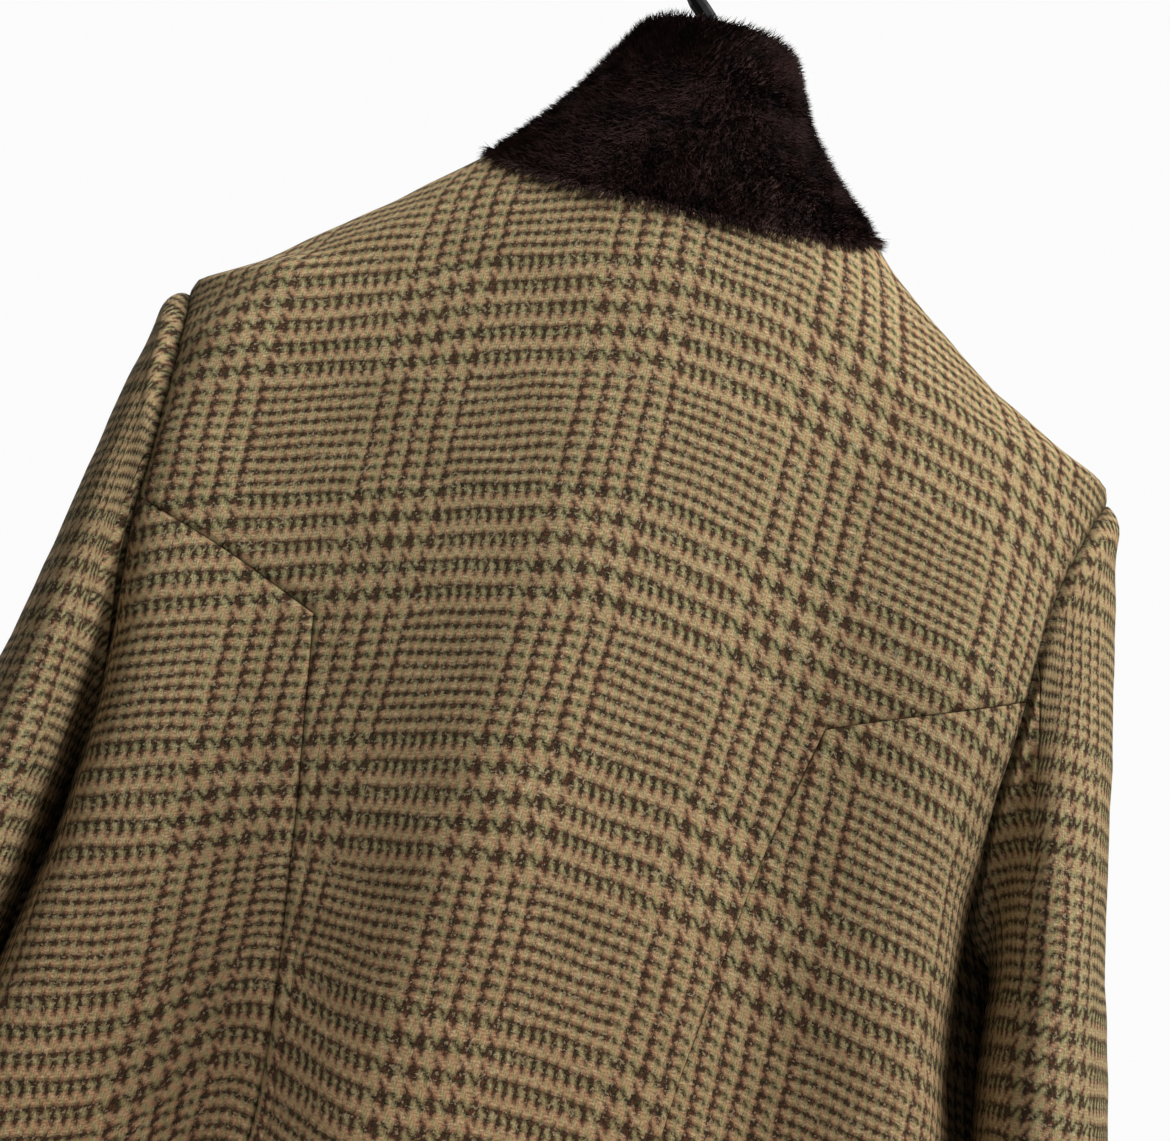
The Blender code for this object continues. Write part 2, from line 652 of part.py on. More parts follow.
def recalculate(obj):
    """Turns every face of a closed mesh outwards."""
    mesh = bmesh.new()
    mesh.from_mesh(obj.data)
    bmesh.ops.recalc_face_normals(mesh, faces=mesh.faces)
    if mesh.calc_volume(signed=True) < 0:
        bmesh.ops.reverse_faces(mesh, faces=mesh.faces)
    mesh.to_mesh(obj.data)
    mesh.free()


def sweep(name, centres, sections, finish):
    """A closed bar through rings of points, one ring for each station."""
    count = len(sections[0])
    points = np.concatenate([centre + section for centre, section in zip(centres, sections)])
    faces = []
    for k in range(len(centres) - 1):
        for j in range(count):
            near, far = k * count, (k + 1) * count
            faces.append((near + j, near + (j + 1) % count, far + (j + 1) % count, far + j))
    faces.append(tuple(reversed(range(count))))
    last = (len(centres) - 1) * count
    faces.append(tuple(range(last, last + count)))
    obj = add_object(name, points, faces, finish)
    recalculate(obj)


def make_hanger():
    """A bar under both shoulders, a socket on its middle and a hook."""
    x, drop = shoulder_line()
    inside = x <= BAR_END
    halves = []
    for out in (1, -1):
        turn = np.full(inside.sum(), float(out))
        up = normal_of(ring_point, turn, drop[inside])
        down = ring_point(turn, drop[inside]) - up * (WALL + BAR_CLEAR + BAR_HALF_TALL)
        inner = [(out * far, ring_value("middle", -NECK_RISE), NECK_Z + rise) for far, rise in BAR_INNER]
        half = np.concatenate([inner, down])
        halves.append(np.concatenate([half, half[-1:] + (half[-1:] - half[-2:-1]) * 0.12]))
    centres = np.concatenate([halves[1][:0:-1], halves[0]])
    scale = np.ones(len(centres))
    scale[[0, -1]] = 0.55
    angle = np.linspace(0, 2 * math.pi, 12, endpoint=False)
    along = unit(np.gradient(centres, axis=0))
    sections = []
    for way, size in zip(along, scale):
        rise = unit(np.cross(way, (0.0, 1.0, 0.0))) * (-1 if way[0] > 0 else 1)
        rise = rise * np.sign(rise[2])
        ring = np.cos(angle)[:, None] * rise * BAR_HALF_TALL
        sections.append(size * (ring + np.sin(angle)[:, None] * np.array([0, BAR_HALF_DEEP, 0])))
    sweep("hanger", centres, sections, "hanger_black")

    y = ring_value("middle", -NECK_RISE)
    base = NECK_Z + BAR_INNER[0][1] + BAR_HALF_TALL + SEAM_GAP
    circle = np.linspace(0, 2 * math.pi, 20, endpoint=False)
    disc = np.stack([np.cos(circle), np.sin(circle), 0 * circle], axis=-1)
    levels = ((0.0, 1.0), (0.55, 1.0), (0.85, 0.78), (1.0, 0.62))
    centres = [np.array([0, y, base + share * SOCKET_HEIGHT]) for share, _ in levels]
    sweep("hook_socket", centres, [disc * SOCKET_RADIUS * size for _, size in levels], "hanger_black")

    bend_z = -HOOK_BEND + HOOK_WIRE
    foot = base + SOCKET_HEIGHT + SEAM_GAP
    lean = math.radians(-52)
    join = np.array([HOOK_BEND * math.cos(lean), bend_z + HOOK_BEND * math.sin(lean)])
    way = np.array([-math.sin(lean), math.cos(lean)])
    low = np.array([0.0, foot])
    path = []
    for t in np.linspace(0, 1, 9, endpoint=False):
        near = low + (0.0, 0.022)
        far = join - way * 0.014
        path.append((1 - t) ** 3 * low + 3 * t * (1 - t) ** 2 * near + 3 * t**2 * (1 - t) * far + t**3 * join)
    for turn in np.linspace(lean, math.radians(178), 20):
        path.append(np.array([HOOK_BEND * math.cos(turn), bend_z + HOOK_BEND * math.sin(turn)]))
    path = np.array(path)
    centres = np.stack([path[:, 0], np.full(len(path), y), path[:, 1]], axis=-1)
    along = unit(np.gradient(centres, axis=0))
    along[0] = (0, 0, 1)
    round_way = np.linspace(0, 2 * math.pi, 10, endpoint=False)
    sections = []
    for way in along:
        across = np.cross(way, (0.0, 1.0, 0.0))
        sections.append(HOOK_WIRE * (
            np.cos(round_way)[:, None] * across + np.sin(round_way)[:, None] * np.array([0, 1.0, 0])
        ))
    sweep("hook", centres, sections, "hanger_black")


def make_buttons():
    """Dished buttons on the centre front, on the right front's outer face."""
    circle = np.linspace(0, 2 * math.pi, 18, endpoint=False)
    profile = ((0.93, 0.0), (1.0, 0.25), (1.0, 0.62), (0.90, 0.92), (0.74, 0.80), (0.40, 0.66))
    for k, drop in enumerate(BUTTON_DROPS):
        place = np.array([2.0]), np.array([drop])
        centre = body_point(*place)[0]
        out = normal_of(body_point, *place)[0]
        side = unit(np.cross(out, (0.0, 0.0, 1.0)))
        up = np.cross(side, out)
        seat = centre + out * BUTTON_STAND
        centres = [seat + out * BUTTON_HEIGHT * rise for _, rise in profile]
        ring = np.cos(circle)[:, None] * side + np.sin(circle)[:, None] * up
        sweep(f"button_{k + 1}", centres, [ring * BUTTON_RADIUS * size for size, _ in profile], "button")


def main():
    for obj in list(bpy.data.objects):
        bpy.data.objects.remove(obj, do_unlink=True)
    make_coat_cloth()
    make_collar()
    make_hanger()
    make_buttons()


main()
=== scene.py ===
# A checked wool coat with a fur stand collar on a black hanger.
# Metres; the front faces -Y, the wearer's left is +X, the hook's inside top is the origin.
import math
from functools import partial, partialmethod

import bmesh
import bpy
import numpy as np
from mathutils import Matrix, Vector


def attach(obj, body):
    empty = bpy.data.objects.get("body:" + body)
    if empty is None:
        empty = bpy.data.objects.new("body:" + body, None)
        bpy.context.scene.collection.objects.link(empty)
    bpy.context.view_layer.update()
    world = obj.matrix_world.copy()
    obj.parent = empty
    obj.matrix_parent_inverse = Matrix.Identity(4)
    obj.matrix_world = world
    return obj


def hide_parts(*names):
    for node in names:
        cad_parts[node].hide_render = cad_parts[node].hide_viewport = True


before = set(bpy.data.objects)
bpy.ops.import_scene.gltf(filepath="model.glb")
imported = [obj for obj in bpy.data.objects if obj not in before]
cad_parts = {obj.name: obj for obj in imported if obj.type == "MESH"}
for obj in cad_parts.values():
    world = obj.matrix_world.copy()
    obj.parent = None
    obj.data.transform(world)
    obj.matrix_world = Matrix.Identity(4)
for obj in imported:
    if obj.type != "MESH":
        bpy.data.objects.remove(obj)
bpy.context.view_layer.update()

print("frame loaded")

# the coat's shape
# drop is down from the back neck seam; turn is 0 centre back, 1 left side, 2 centre front
body = {
    "neckZ": -0.171, "length": 0.930, "wall": 0.0026, "seamGap": 0.0003,
    "neckHalf": 0.0925, "neckRise": 0.030, "frontNeckDrop": 0.070,
    "tipDrop": 0.069, "tipHalf": 0.2235, "underarmDrop": 0.275,
    "armholeBack": 0.059, "armholeFront": 0.057,
    "slantStart": 0.182, "cornerDrop": 0.217, "centreRowDrop": 0.219,
    "lap": 0.020, "tuck": 0.0039, "tuckNear": 0.030, "tuckFar": 0.075, "seamDip": 0.0012, "stitchDip": 0.0003,
    "seamLines": (0.22, 0.58), "dipShares": (1.0, 0.42, 0.10), "stitchedRow": 2, "turnLimit": 2.15,
}
upperRows, armRows, bodyRows = 45, 60, 190
centreColumns, backColumns, neckColumns, frontNeckColumns = 24, 46, 18, 24
sleeveRows, backSeam, frontSeam = 104, 40, 80
join = np.concatenate
rings = {
    "drop": (-.030, -.010, .012, .033, .052, .069, .110, .180, .240, .275, .320, .390, .520, .700, .930),
    "halfWidth": (.0925, .1135, .1405, .169, .197, .2235, .2245, .22, .207, .202, .204, .214, .228, .244, .265),
    "shift": (.0045, .0075, .0070, .0050, .0010, .0, .004, .007, .009, .010, .010, .010, .009, .006, .002),
    "back": (.061, .065, .071, .077, .081, .083, .087, .090, .090, .090, .090, .091, .097, .108, .120),
    "front": (.054, .058, .065, .072, .078, .082, .090, .098, .102, .102, .100, .098, .102, .110, .120),
    "middle": (-.003, -.004, -.006, -.009, -.011, -.012, -.012, -.012, -.012, -.012, -.012,
               -.011, -.009, -.006, -.004),
    "square": (2.0, 2.0, 2.0, 2.05, 2.1, 2.25, 2.7, 2.9, 2.8, 2.8, 2.7, 2.6, 2.5, 2.4, 2.3),
}
rings = {name: np.array(column) for name, column in rings.items()}
folds = (  # turn, drift, width, depth, start, full
    (-0.036, 0.27, 0.124, 0.013, 0.02, 0.20), (0.292, 0.09, 0.202, -0.013, -0.03, 0.20),
    (-0.211, -0.35, 0.100, -0.013, -0.03, 0.32), (-0.301, 0.35, 0.220, -0.013, 0.30, 0.42),
    (-0.432, -0.35, 0.119, 0.013, 0.05, 0.22), (0.347, 0.35, 0.220, -0.013, 0.30, 0.47),
    (0.038, 0.35, 0.220, 0.013, 0.13, 0.30), (0.523, 0.20, 0.092, 0.013, -0.03, 0.20),
    (0.780, 0.02, 0.090, 0.012, 0.36, 0.85), (-0.860, 0.00, 0.070, -0.010, 0.40, 0.85),
    (0.960, 0.00, 0.080, -0.010, 0.40, 0.85), (1.320, 0.00, 0.150, 0.036, 0.18, 0.33),
    (1.320, 0.00, 0.150, -0.020, 0.36, 0.90), (1.480, 0.03, 0.080, -0.012, 0.24, 0.75),
    (1.700, 0.02, 0.090, 0.008, 0.36, 0.90), (-1.320, 0.00, 0.165, 0.056, 0.17, 0.32),
    (-1.320, 0.00, 0.165, -0.038, 0.37, 0.90), (-1.530, -0.02, 0.080, -0.012, 0.26, 0.80),
    (-1.740, 0.00, 0.090, 0.008, 0.40, 0.90),
)
princess = np.array([
    (0.217, 0.1135), (0.311, 0.0955), (0.423, 0.0825), (0.520, 0.0840), (0.700, 0.1000), (0.930, 0.1250),
])
sleeveSections = {  # drop, out, middle, half across, half deep, twist
    "left": np.array([
        (0.300, 0.2430, -0.010, 0.0255, 0.0770, 10.0), (0.360, 0.2535, -0.014, 0.0285, 0.0750, 12.0),
        (0.450, 0.2675, -0.026, 0.0285, 0.0720, 13.0), (0.550, 0.2800, -0.043, 0.0275, 0.0690, 14.0),
        (0.655, 0.2900, -0.062, 0.0265, 0.0660, 14.0),
    ]),
    "right": np.array([
        (0.300, 0.2365, -0.010, 0.0265, 0.0770, 15.0), (0.360, 0.2455, -0.015, 0.0300, 0.0750, 17.0),
        (0.450, 0.2600, -0.028, 0.0305, 0.0720, 18.0), (0.550, 0.2735, -0.046, 0.0280, 0.0690, 20.0),
        (0.655, 0.2850, -0.066, 0.0265, 0.0660, 20.0),
    ]),
}
cap = {
    "swell": {"left": 0.066, "right": 0.042}, "hang": {"left": 0.56, "right": 0.36}, "rows": 0.36,
    "outUnder": 0.35, "outOver": 0.65, "swing": 0.25, "lift": 0.22, "sink": 0.9,
}
rowSpread = 1.25  # rows crowd towards a seam by this power
sides = {"left": 1, "right": -1}


def through(knots, values, at):  # a smooth curve through a column, without overshoot
    at = np.clip(at, knots[0], knots[-1])
    steps = np.diff(knots)
    slopes = np.diff(values) / steps
    before, after = slopes[:-1], slopes[1:]
    sameWay = before * after > 0
    inner = np.where(sameWay, 2 * before * after / np.where(sameWay, before + after, 1.0), 0.0)
    tangents = join([slopes[:1], inner, slopes[-1:]])
    span = np.clip(np.searchsorted(knots, at, side="right") - 1, 0, len(steps) - 1)
    t = (at - knots[span]) / steps[span]
    rise = values[span + 1] - values[span]
    start, end = tangents[span] * steps[span], tangents[span + 1] * steps[span]
    return values[span] + t * start + t**2 * (3 * rise - 2 * start - end) + t**3 * (start + end - 2 * rise)


def ringValue(name, drop):
    return through(rings["drop"], rings[name], drop)


def smooth(t):
    t = np.clip(t, 0.0, 1.0)
    return t * t * (3 - 2 * t)


def unit(vectors):
    return vectors / np.maximum(np.linalg.norm(vectors, axis=-1, keepdims=True), 1e-12)


def ringPoint(turn, drop):
    angle = np.asarray(turn) * math.pi / 2
    across, along = np.sin(angle), np.cos(angle)
    square = ringValue("square", drop)
    reach = (np.abs(across) ** square + np.abs(along) ** square) ** (-1 / square)
    depth = np.where(along > 0, ringValue("back", drop), ringValue("front", drop))
    x = ringValue("shift", drop) + ringValue("halfWidth", drop) * reach * across
    y = ringValue("middle", drop) + depth * reach * along
    return np.stack([x, y, body["neckZ"] - np.asarray(drop)], axis=-1)


def normalOf(surface, turn, drop, step=1e-3):
    low = np.maximum(drop - step, rings["drop"][0])
    high = np.minimum(low + 2 * step, body["length"])
    low = high - 2 * step
    roundWay = surface(turn + step, drop) - surface(turn - step, drop)
    downWay = surface(turn, high) - surface(turn, low)
    return unit(np.cross(roundWay, downWay))


def foldHeight(turn, drop):
    height = np.zeros(np.broadcast(turn, drop).shape)
    for centre, drift, width, depth, start, full in folds:
        away = (turn - centre - drift * (drop - start) + 2) % 4 - 2
        height = height + depth * smooth((drop - start) / (full - start)) * np.exp(-((away / width) ** 2))
    return height


def bodyPoint(turn, drop):
    turn, drop = np.asarray(turn, float), np.asarray(drop, float)
    return ringPoint(turn, drop) + normalOf(ringPoint, turn, drop) * foldHeight(turn, drop)[..., None]


def onBody(turn, drop):
    return bodyPoint(turn, drop), normalOf(bodyPoint, turn, drop)


def turnAtX(x, drop, front=False):
    square = ringValue("square", drop)
    share = np.clip(x / ringValue("halfWidth", drop), -1.0, 1.0)
    angle = np.arctan2(share, (1 - np.abs(share) ** square) ** (1 / square)) * 2 / math.pi
    return 2 - angle if front else angle


def xAtTurn(turn, drop):
    return ringPoint(turn, drop)[..., 0] - ringValue("shift", drop)


def armholePlace(angle):
    tip, under = body["tipDrop"], body["underarmDrop"]
    drop = (tip + under) / 2 - (under - tip) / 2 * np.cos(angle)
    behind = np.sin(angle) >= 0
    depth = np.where(behind, ringValue("back", drop), ringValue("front", drop))
    swell = np.where(behind, body["armholeBack"], body["armholeFront"])
    share = np.clip(np.abs(swell * np.sin(angle)) / depth, 0.0, 1.0)
    square = ringValue("square", drop)
    turn = np.arctan2((1 - share**square) ** (1 / square), share) * 2 / math.pi
    return np.where(behind, turn, 2 - turn), drop


def coons(top, bottom, left, right):
    u = np.linspace(0, 1, len(top))[None, :, None]
    v = np.linspace(0, 1, len(left))[:, None, None]
    edges = (1 - u) * left[:, None] + u * right[:, None] + (1 - v) * top[None] + v * bottom[None]
    corners = (
        (1 - u) * (1 - v) * top[0] + u * (1 - v) * top[-1] + (1 - u) * v * bottom[0] + u * v * bottom[-1]
    )
    return edges - corners


def places(across, drop):
    return np.stack(np.broadcast_arrays(across, drop), axis=-1)


def shoulderLine():
    x = np.linspace(body["neckHalf"], body["tipHalf"], backColumns - neckColumns + 1)
    drops = np.linspace(-body["neckRise"], body["tipDrop"], 400)
    return x, np.interp(x, ringValue("halfWidth", drops), drops)


def armholeAngles():
    tip, under = body["tipDrop"], body["underarmDrop"]
    slant = math.acos(((tip + under) / 2 - body["slantStart"]) / ((under - tip) / 2))
    upper = np.linspace(0, slant, upperRows + 1)
    lower = np.linspace(slant, math.pi, armRows - upperRows + 1)
    return join([upper, lower[1:]])


def outerEdges(way):
    # the armhole, and a panel's edge from its slanting seam to the hem; way is 1 behind, -1 in front
    turn, drop = armholePlace(way * armholeAngles())
    sideDrops = np.linspace(body["underarmDrop"], body["length"], bodyRows - armRows + 1)
    side = join([places(turn, drop)[upperRows:], places(1.0, sideDrops[1:])])
    return places(xAtTurn(turn, drop), drop), side


def spacedRows(start, end):
    share = (np.linspace(0, 1, upperRows + 1) ** rowSpread)[:, None]
    return (1 - share) * start + share * end


def toTurns(grid, front=False):
    return places(turnAtX(grid[..., 0], grid[..., 1], front), grid[..., 1])


def neckCurveBack(count):
    share = np.linspace(0, 1, count + 1)
    return places(body["neckHalf"] * np.sin(share * math.pi / 2), -body["neckRise"] * share**2.4)


def neckCurveFront(count, edgeX=None):
    share = np.linspace(0, 1, count) * math.pi / 2
    fall = -body["neckRise"] + (body["frontNeckDrop"] + body["neckRise"]) * np.sin(share) ** 1.7
    curve = places(body["neckHalf"] * np.cos(share), fall)
    return curve if edgeX is None else join([curve, [[edgeX, body["frontNeckDrop"]]]])


def backGrid():
    top = join([neckCurveBack(neckColumns), places(*shoulderLine())[1:]])
    arm, side = outerEdges(1)
    outer = np.linspace(0, 1, backColumns - centreColumns + 1)[:, None]
    centre = np.linspace(0, 1, centreColumns + 1)
    corner = np.array([princess[0, 1], body["cornerDrop"]])
    dip = body["centreRowDrop"] + (body["cornerDrop"] - body["centreRowDrop"]) * centre**3
    level = places(corner[0] * centre, dip)
    row = join([level, ((1 - outer) * corner + outer * arm[upperRows])[1:]])
    upper = toTurns(coons(top, row, spacedRows(top[0], row[0]), arm[: upperRows + 1]))
    lowerRows = bodyRows - upperRows
    centreDrops = np.linspace(body["centreRowDrop"], body["length"], lowerRows + 1)
    seamDrops = np.linspace(body["cornerDrop"], body["length"], lowerRows + 1)
    seam = places(turnAtX(through(princess[:, 0], princess[:, 1], seamDrops), seamDrops), seamDrops)
    start = upper[-1]
    hemCentre = places(seam[-1, 0] * centre, body["length"])
    hemSide = places(seam[-1, 0] + (1 - seam[-1, 0]) * outer[:, 0], body["length"])
    middle = coons(start[: centreColumns + 1], hemCentre, places(0.0, centreDrops), seam)
    flank = coons(start[centreColumns:], hemSide, seam, side)
    half = join([upper, join([middle, flank[:, 1:]], axis=1)[1:]])
    return join([half[:, :0:-1] * (-1, 1), half], axis=1)


def frontGrid(edgeX):
    neck = neckCurveFront(frontNeckColumns, edgeX)
    top = join([places(*shoulderLine())[::-1][:-1], neck])
    arm, side = outerEdges(-1)
    share = np.linspace(0, 1, len(top))[:, None]
    row = (1 - share) * arm[upperRows] + share * np.array([edgeX, body["centreRowDrop"]])
    upper = coons(top, row, arm[: upperRows + 1], spacedRows(top[-1], row[-1]))
    upper = toTurns(upper, front=True)
    drops = np.linspace(body["centreRowDrop"], body["length"], bodyRows - upperRows + 1)
    edge = places(turnAtX(np.full_like(drops, edgeX), drops, front=True), drops)
    hem = (1 - share) * side[-1] + share * edge[-1]
    return join([upper, coons(upper[-1], hem, side, edge)[1:]])


def tuckDepth(points):
    reach = (body["tuckFar"] - points[..., 0]) / (body["tuckFar"] - body["tuckNear"])
    return body["tuck"] * smooth(reach)


def sleeveGrid(side, loop):
    table, out = sleeveSections[side], sides[side]
    angle = np.linspace(0, 2 * math.pi, len(loop), endpoint=False)

    def section(drop):
        drop = np.array(drop)
        out0, middle, across, deep, twist = (through(table[:, 0], column, drop) for column in table.T[1:])
        twist = math.radians(twist)
        a, d = across * np.cos(angle), deep * np.sin(angle)
        x = out0 + a * math.cos(twist) - d * math.sin(twist)
        y = middle + a * math.sin(twist) + d * math.cos(twist)
        return np.stack([out * x, y, np.full_like(x, body["neckZ"] - drop)], axis=-1)

    first, last = table[0, 0], table[-1, 0]
    end = section(first)
    run = unit(section(first + 0.02) - end)
    upward = np.cos(angle)
    leave = unit(np.stack([
        out * (cap["outUnder"] + cap["outOver"] * (1 + upward) / 2), cap["swing"] * np.sin(angle),
        np.where(upward > 0, cap["lift"] * upward, cap["sink"] * upward),
    ], axis=-1))
    span = np.linalg.norm(end - loop, axis=-1, keepdims=True)
    near = loop + leave * span * cap["swell"][side]
    far = end - run * span * cap["hang"][side]
    capRows = round(sleeveRows * cap["rows"])
    rows = []
    for t in np.linspace(0, 1, capRows + 1) ** rowSpread:
        rows.append((1 - t) ** 3 * loop + 3 * t * (1 - t) ** 2 * near + 3 * t**2 * (1 - t) * far + t**3 * end)
    for drop in np.linspace(first, last, sleeveRows - capRows + 1)[1:]:
        rows.append(section(drop))
    return np.stack(rows), capRows


def gridNormals(grid, closed, flip):
    if closed:
        roundWay = np.roll(grid, -1, axis=1) - np.roll(grid, 1, axis=1)
    else:
        roundWay = np.gradient(grid, axis=1)
    return unit(np.cross(roundWay, np.gradient(grid, axis=0))) * flip


# materials
def addNode(tree, kind, settings=None, inputs=None):
    made = tree.nodes.new(kind)
    for name, value in (settings or {}).items():
        setattr(made, name, value)
    for key, value in (inputs or {}).items():
        if isinstance(value, bpy.types.NodeSocket):
            tree.links.new(value, made.inputs[key])
        else:
            made.inputs[key].default_value = value
    return made


class Value:
    # one socket of a material; sums on it add Math nodes
    def __init__(self, look, socket):
        self.look, self.socket = look, socket

    def math(self, operation, *others):
        return self.look.node("ShaderNodeMath", {"operation": operation}, dict(enumerate((self, *others))))

    def __rsub__(self, other):
        return self.look.node("ShaderNodeMath", {"operation": "SUBTRACT"}, {0: other, 1: self})


operators = {
    "__add__": "ADD", "__radd__": "ADD", "__sub__": "SUBTRACT", "__mul__": "MULTIPLY",
    "__mod__": "FLOORED_MODULO", "__lt__": "LESS_THAN", "__gt__": "GREATER_THAN",
}
for name, operation in operators.items():
    setattr(Value, name, partialmethod(Value.math, operation))


class Look:
    # a material, its shader and the one way to add a node to it
    def __init__(self, name, constants):
        self.material = bpy.data.materials.new(name)
        self.material.use_nodes = True
        self.tree = self.material.node_tree
        self.shader = self.tree.nodes["Principled BSDF"]
        for socket, value in constants.items():
            self.shader.inputs[socket].default_value = value

    def node(self, kind, settings=None, inputs=None, output=0):
        inputs = {key: getattr(value, "socket", value) for key, value in (inputs or {}).items()}
        return Value(self, addNode(self.tree, kind, settings, inputs).outputs[output])

    def inSpace(self):
        return self.node("ShaderNodeTexCoord", None, None, 3)

    def mix(self, share, a, b):
        return self.node("ShaderNodeMix", {"data_type": "RGBA"}, {0: share, 6: a, 7: b}, 2)

    def noise(self, vector, scale, detail=2.0, output=0):
        inputs = {"Vector": vector, "Scale": scale, "Detail": detail}
        return self.node("ShaderNodeTexNoise", None, inputs, output)

    def give(self, socket, value):
        self.tree.links.new(value.socket, self.shader.inputs[socket])

    def bump(self, height, distance, strength=1.0):
        inputs = {"Height": height, "Distance": distance, "Strength": strength}
        self.give("Normal", self.node("ShaderNodeBump", None, inputs))


def srgb(red, green, blue):  # a colour seen as 0-255 to scene light
    channels = []
    for value in (red, green, blue):
        value = value / 255
        channels.append(value / 12.92 if value <= 0.04045 else ((value + 0.055) / 1.055) ** 2.4)
    return (*channels, 1.0)


tweed = {
    "acrossPitch": 0.0935 / 76, "downPitch": 0.1127 / 76,  # one yarn, in metres
    "threads": 76, "bold": 40, "boldCheck": 8, "fineCheck": 4,  # yarns in a repeat, and in its parts
    "warpLight": srgb(188, 179, 128), "warpDark": srgb(76, 54, 44),
    "weftLight": srgb(213, 173, 132), "weftDark": srgb(34, 42, 30),
    "rust": srgb(150, 84, 60), "cream": srgb(230, 214, 172), "moss": srgb(92, 108, 62),
    "fuzz": 0.80, "wander": 2.4,  # how far fibres stray and yarns run crooked, in yarns
    "layers": ((0.46, 0.18, 0, 1), (-0.18, 0.46, 1, 2), (-0.46, -0.18, 2, 0), (0.18, -0.46, 1, 0)),
    "strayScale": 1500.0, "wanderScale": 45.0, "blendScale": 900.0, "fleckScale": 560.0,
    "grainScale": 2600.0, "wornScale": 9.0, "rusty": 0.30,
    "flecks": (("rust", 0.32), ("cream", 0.36), ("moss", 0.26)), "fleckOver": 0.60,
    # lower down the cloth, painted shade: its colour made darker and warmer towards the hem
    "lowerShadeTint": (0.96, 0.86, 0.84), "lowerShadeFrom": 0.12, "lowerShadeFull": 0.42,
    "light": (0.62, 0.5, 0.26, 0.16), "relief": 0.0007,
    # the last three: painted shade, how dark the cloth is made at its seams and along the armholes, where creases
    # fall into shade
    "creaseShade": 0.62, "rimCreaseShades": (0.25, 0.05), "armCreaseShadeWidth": 0.0032,
}


def tweedLook(name):
    look = Look(name, {"Roughness": 0.95, "Sheen Weight": 0.10, "Sheen Roughness": 0.6,
                       "Sheen Tint": srgb(214, 196, 150), "Specular IOR Level": 0.1})
    cloth = look.node("ShaderNodeUVMap", {"uv_map": "cloth"})
    stray = look.noise(cloth, tweed["strayScale"], 3.0, 1)
    wander = look.noise(cloth, tweed["wanderScale"], 1.0, 1)

    def axis(colour, k):
        return look.node("ShaderNodeSeparateColor", None, {0: colour}, k)

    def scaled(colour, amount):
        return look.node("ShaderNodeVectorMath", {"operation": "SCALE"}, {0: colour, "Scale": amount})

    strays, wanders = [axis(stray, k) for k in range(3)], [axis(wander, k) for k in range(2)]
    straight = [look.node("ShaderNodeSeparateXYZ", None, {0: cloth}, k) for k in range(2)]
    pitches = (tweed["acrossPitch"], tweed["downPitch"])
    even = [straight[k] * (1 / pitches[k]) + (wanders[k] - 0.5) * tweed["wander"] for k in range(2)]

    def isDark(yarn):
        order = (yarn + tweed["bold"] / 2) % tweed["threads"]
        bold = order < tweed["bold"]
        wide, fine = ((order % tweed[name]) < tweed[name] / 2 for name in ("boldCheck", "fineCheck"))
        return bold * wide + (1 - bold) * fine

    def yarnColour(yarn, light, dark, seed):
        shade = look.node("ShaderNodeTexWhiteNoise", {"noise_dimensions": "1D"}, {"W": yarn + seed})
        colour = look.mix(isDark(yarn), light, dark)
        return look.mix(shade * tweed["rusty"], colour, look.mix(0.5, colour, tweed["rust"]))

    def woven(right, down, first, second):
        # the 2/2 twill's face, its fibres astray by two channels of the noise
        across = even[0] + (strays[first] - 0.5) * (tweed["fuzz"] * 2) + right
        along = even[1] + (strays[second] - 0.5) * (tweed["fuzz"] * 2) + down
        warp, weft = across.math("FLOOR"), along.math("FLOOR")
        over = ((warp + weft) % 4) < 2
        face = look.mix(over, yarnColour(weft, tweed["weftLight"], tweed["weftDark"], 0.37),
                        yarnColour(warp, tweed["warpLight"], tweed["warpDark"], 0.71))
        warpRound = 1 - ((across - warp) * 2 - 1).math("POWER", 2)
        weftRound = 1 - ((along - weft) * 2 - 1).math("POWER", 2)
        return face, over * warpRound + (1 - over) * weftRound

    face, height = woven(*tweed["layers"][0])
    for count, layer in enumerate(tweed["layers"][1:], 2):
        face = look.mix(1 / count, face, woven(*layer)[0])
    blend = look.noise(cloth, tweed["blendScale"], 3.0)
    fleck = look.noise(cloth, tweed["fleckScale"], 2.0, 1)
    for k, (colour, share) in enumerate(tweed["flecks"]):
        face = look.mix((axis(fleck, k) > tweed["fleckOver"]) * share, face, tweed[colour])
    # painted shade: the face darker and warmer further down the cloth
    lowerShade = look.node("ShaderNodeMapRange", None,
                          {0: straight[1], 1: tweed["lowerShadeFrom"], 2: tweed["lowerShadeFull"], 3: 0.0, 4: 1.0})
    shadedFace = look.node("ShaderNodeVectorMath", {"operation": "MULTIPLY"}, {0: face, 1: tweed["lowerShadeTint"]})
    face = look.mix(lowerShade, face, shadedFace)
    grain = look.noise(cloth, tweed["grainScale"], 1.0)
    worn = look.noise(cloth, tweed["wornScale"], 2.0)
    # painted shade in the seam and armhole creases, darkening the base colour
    paintedCreaseShade = look.node("ShaderNodeAttribute", {"attribute_name": "paintedCreaseShade"}, None, 2)
    base, grainy, blended, wornOut = tweed["light"]
    light = base + grain * grainy + blend * blended + worn * wornOut
    look.give("Base Color", scaled(face, light * (1 - paintedCreaseShade * tweed["creaseShade"])))
    look.bump(height * 0.6 + blend + grain * 0.4, tweed["relief"], 0.8)
    return look.material


furNumbers = {
    "deep": srgb(24, 15, 16), "lit": srgb(70, 48, 44), "tip": srgb(122, 94, 80),
    "density": 2300000.0, "length": 0.0054, "width": 0.00032, "jitter": 0.46, "uneven": (0.65, 1.15),
}


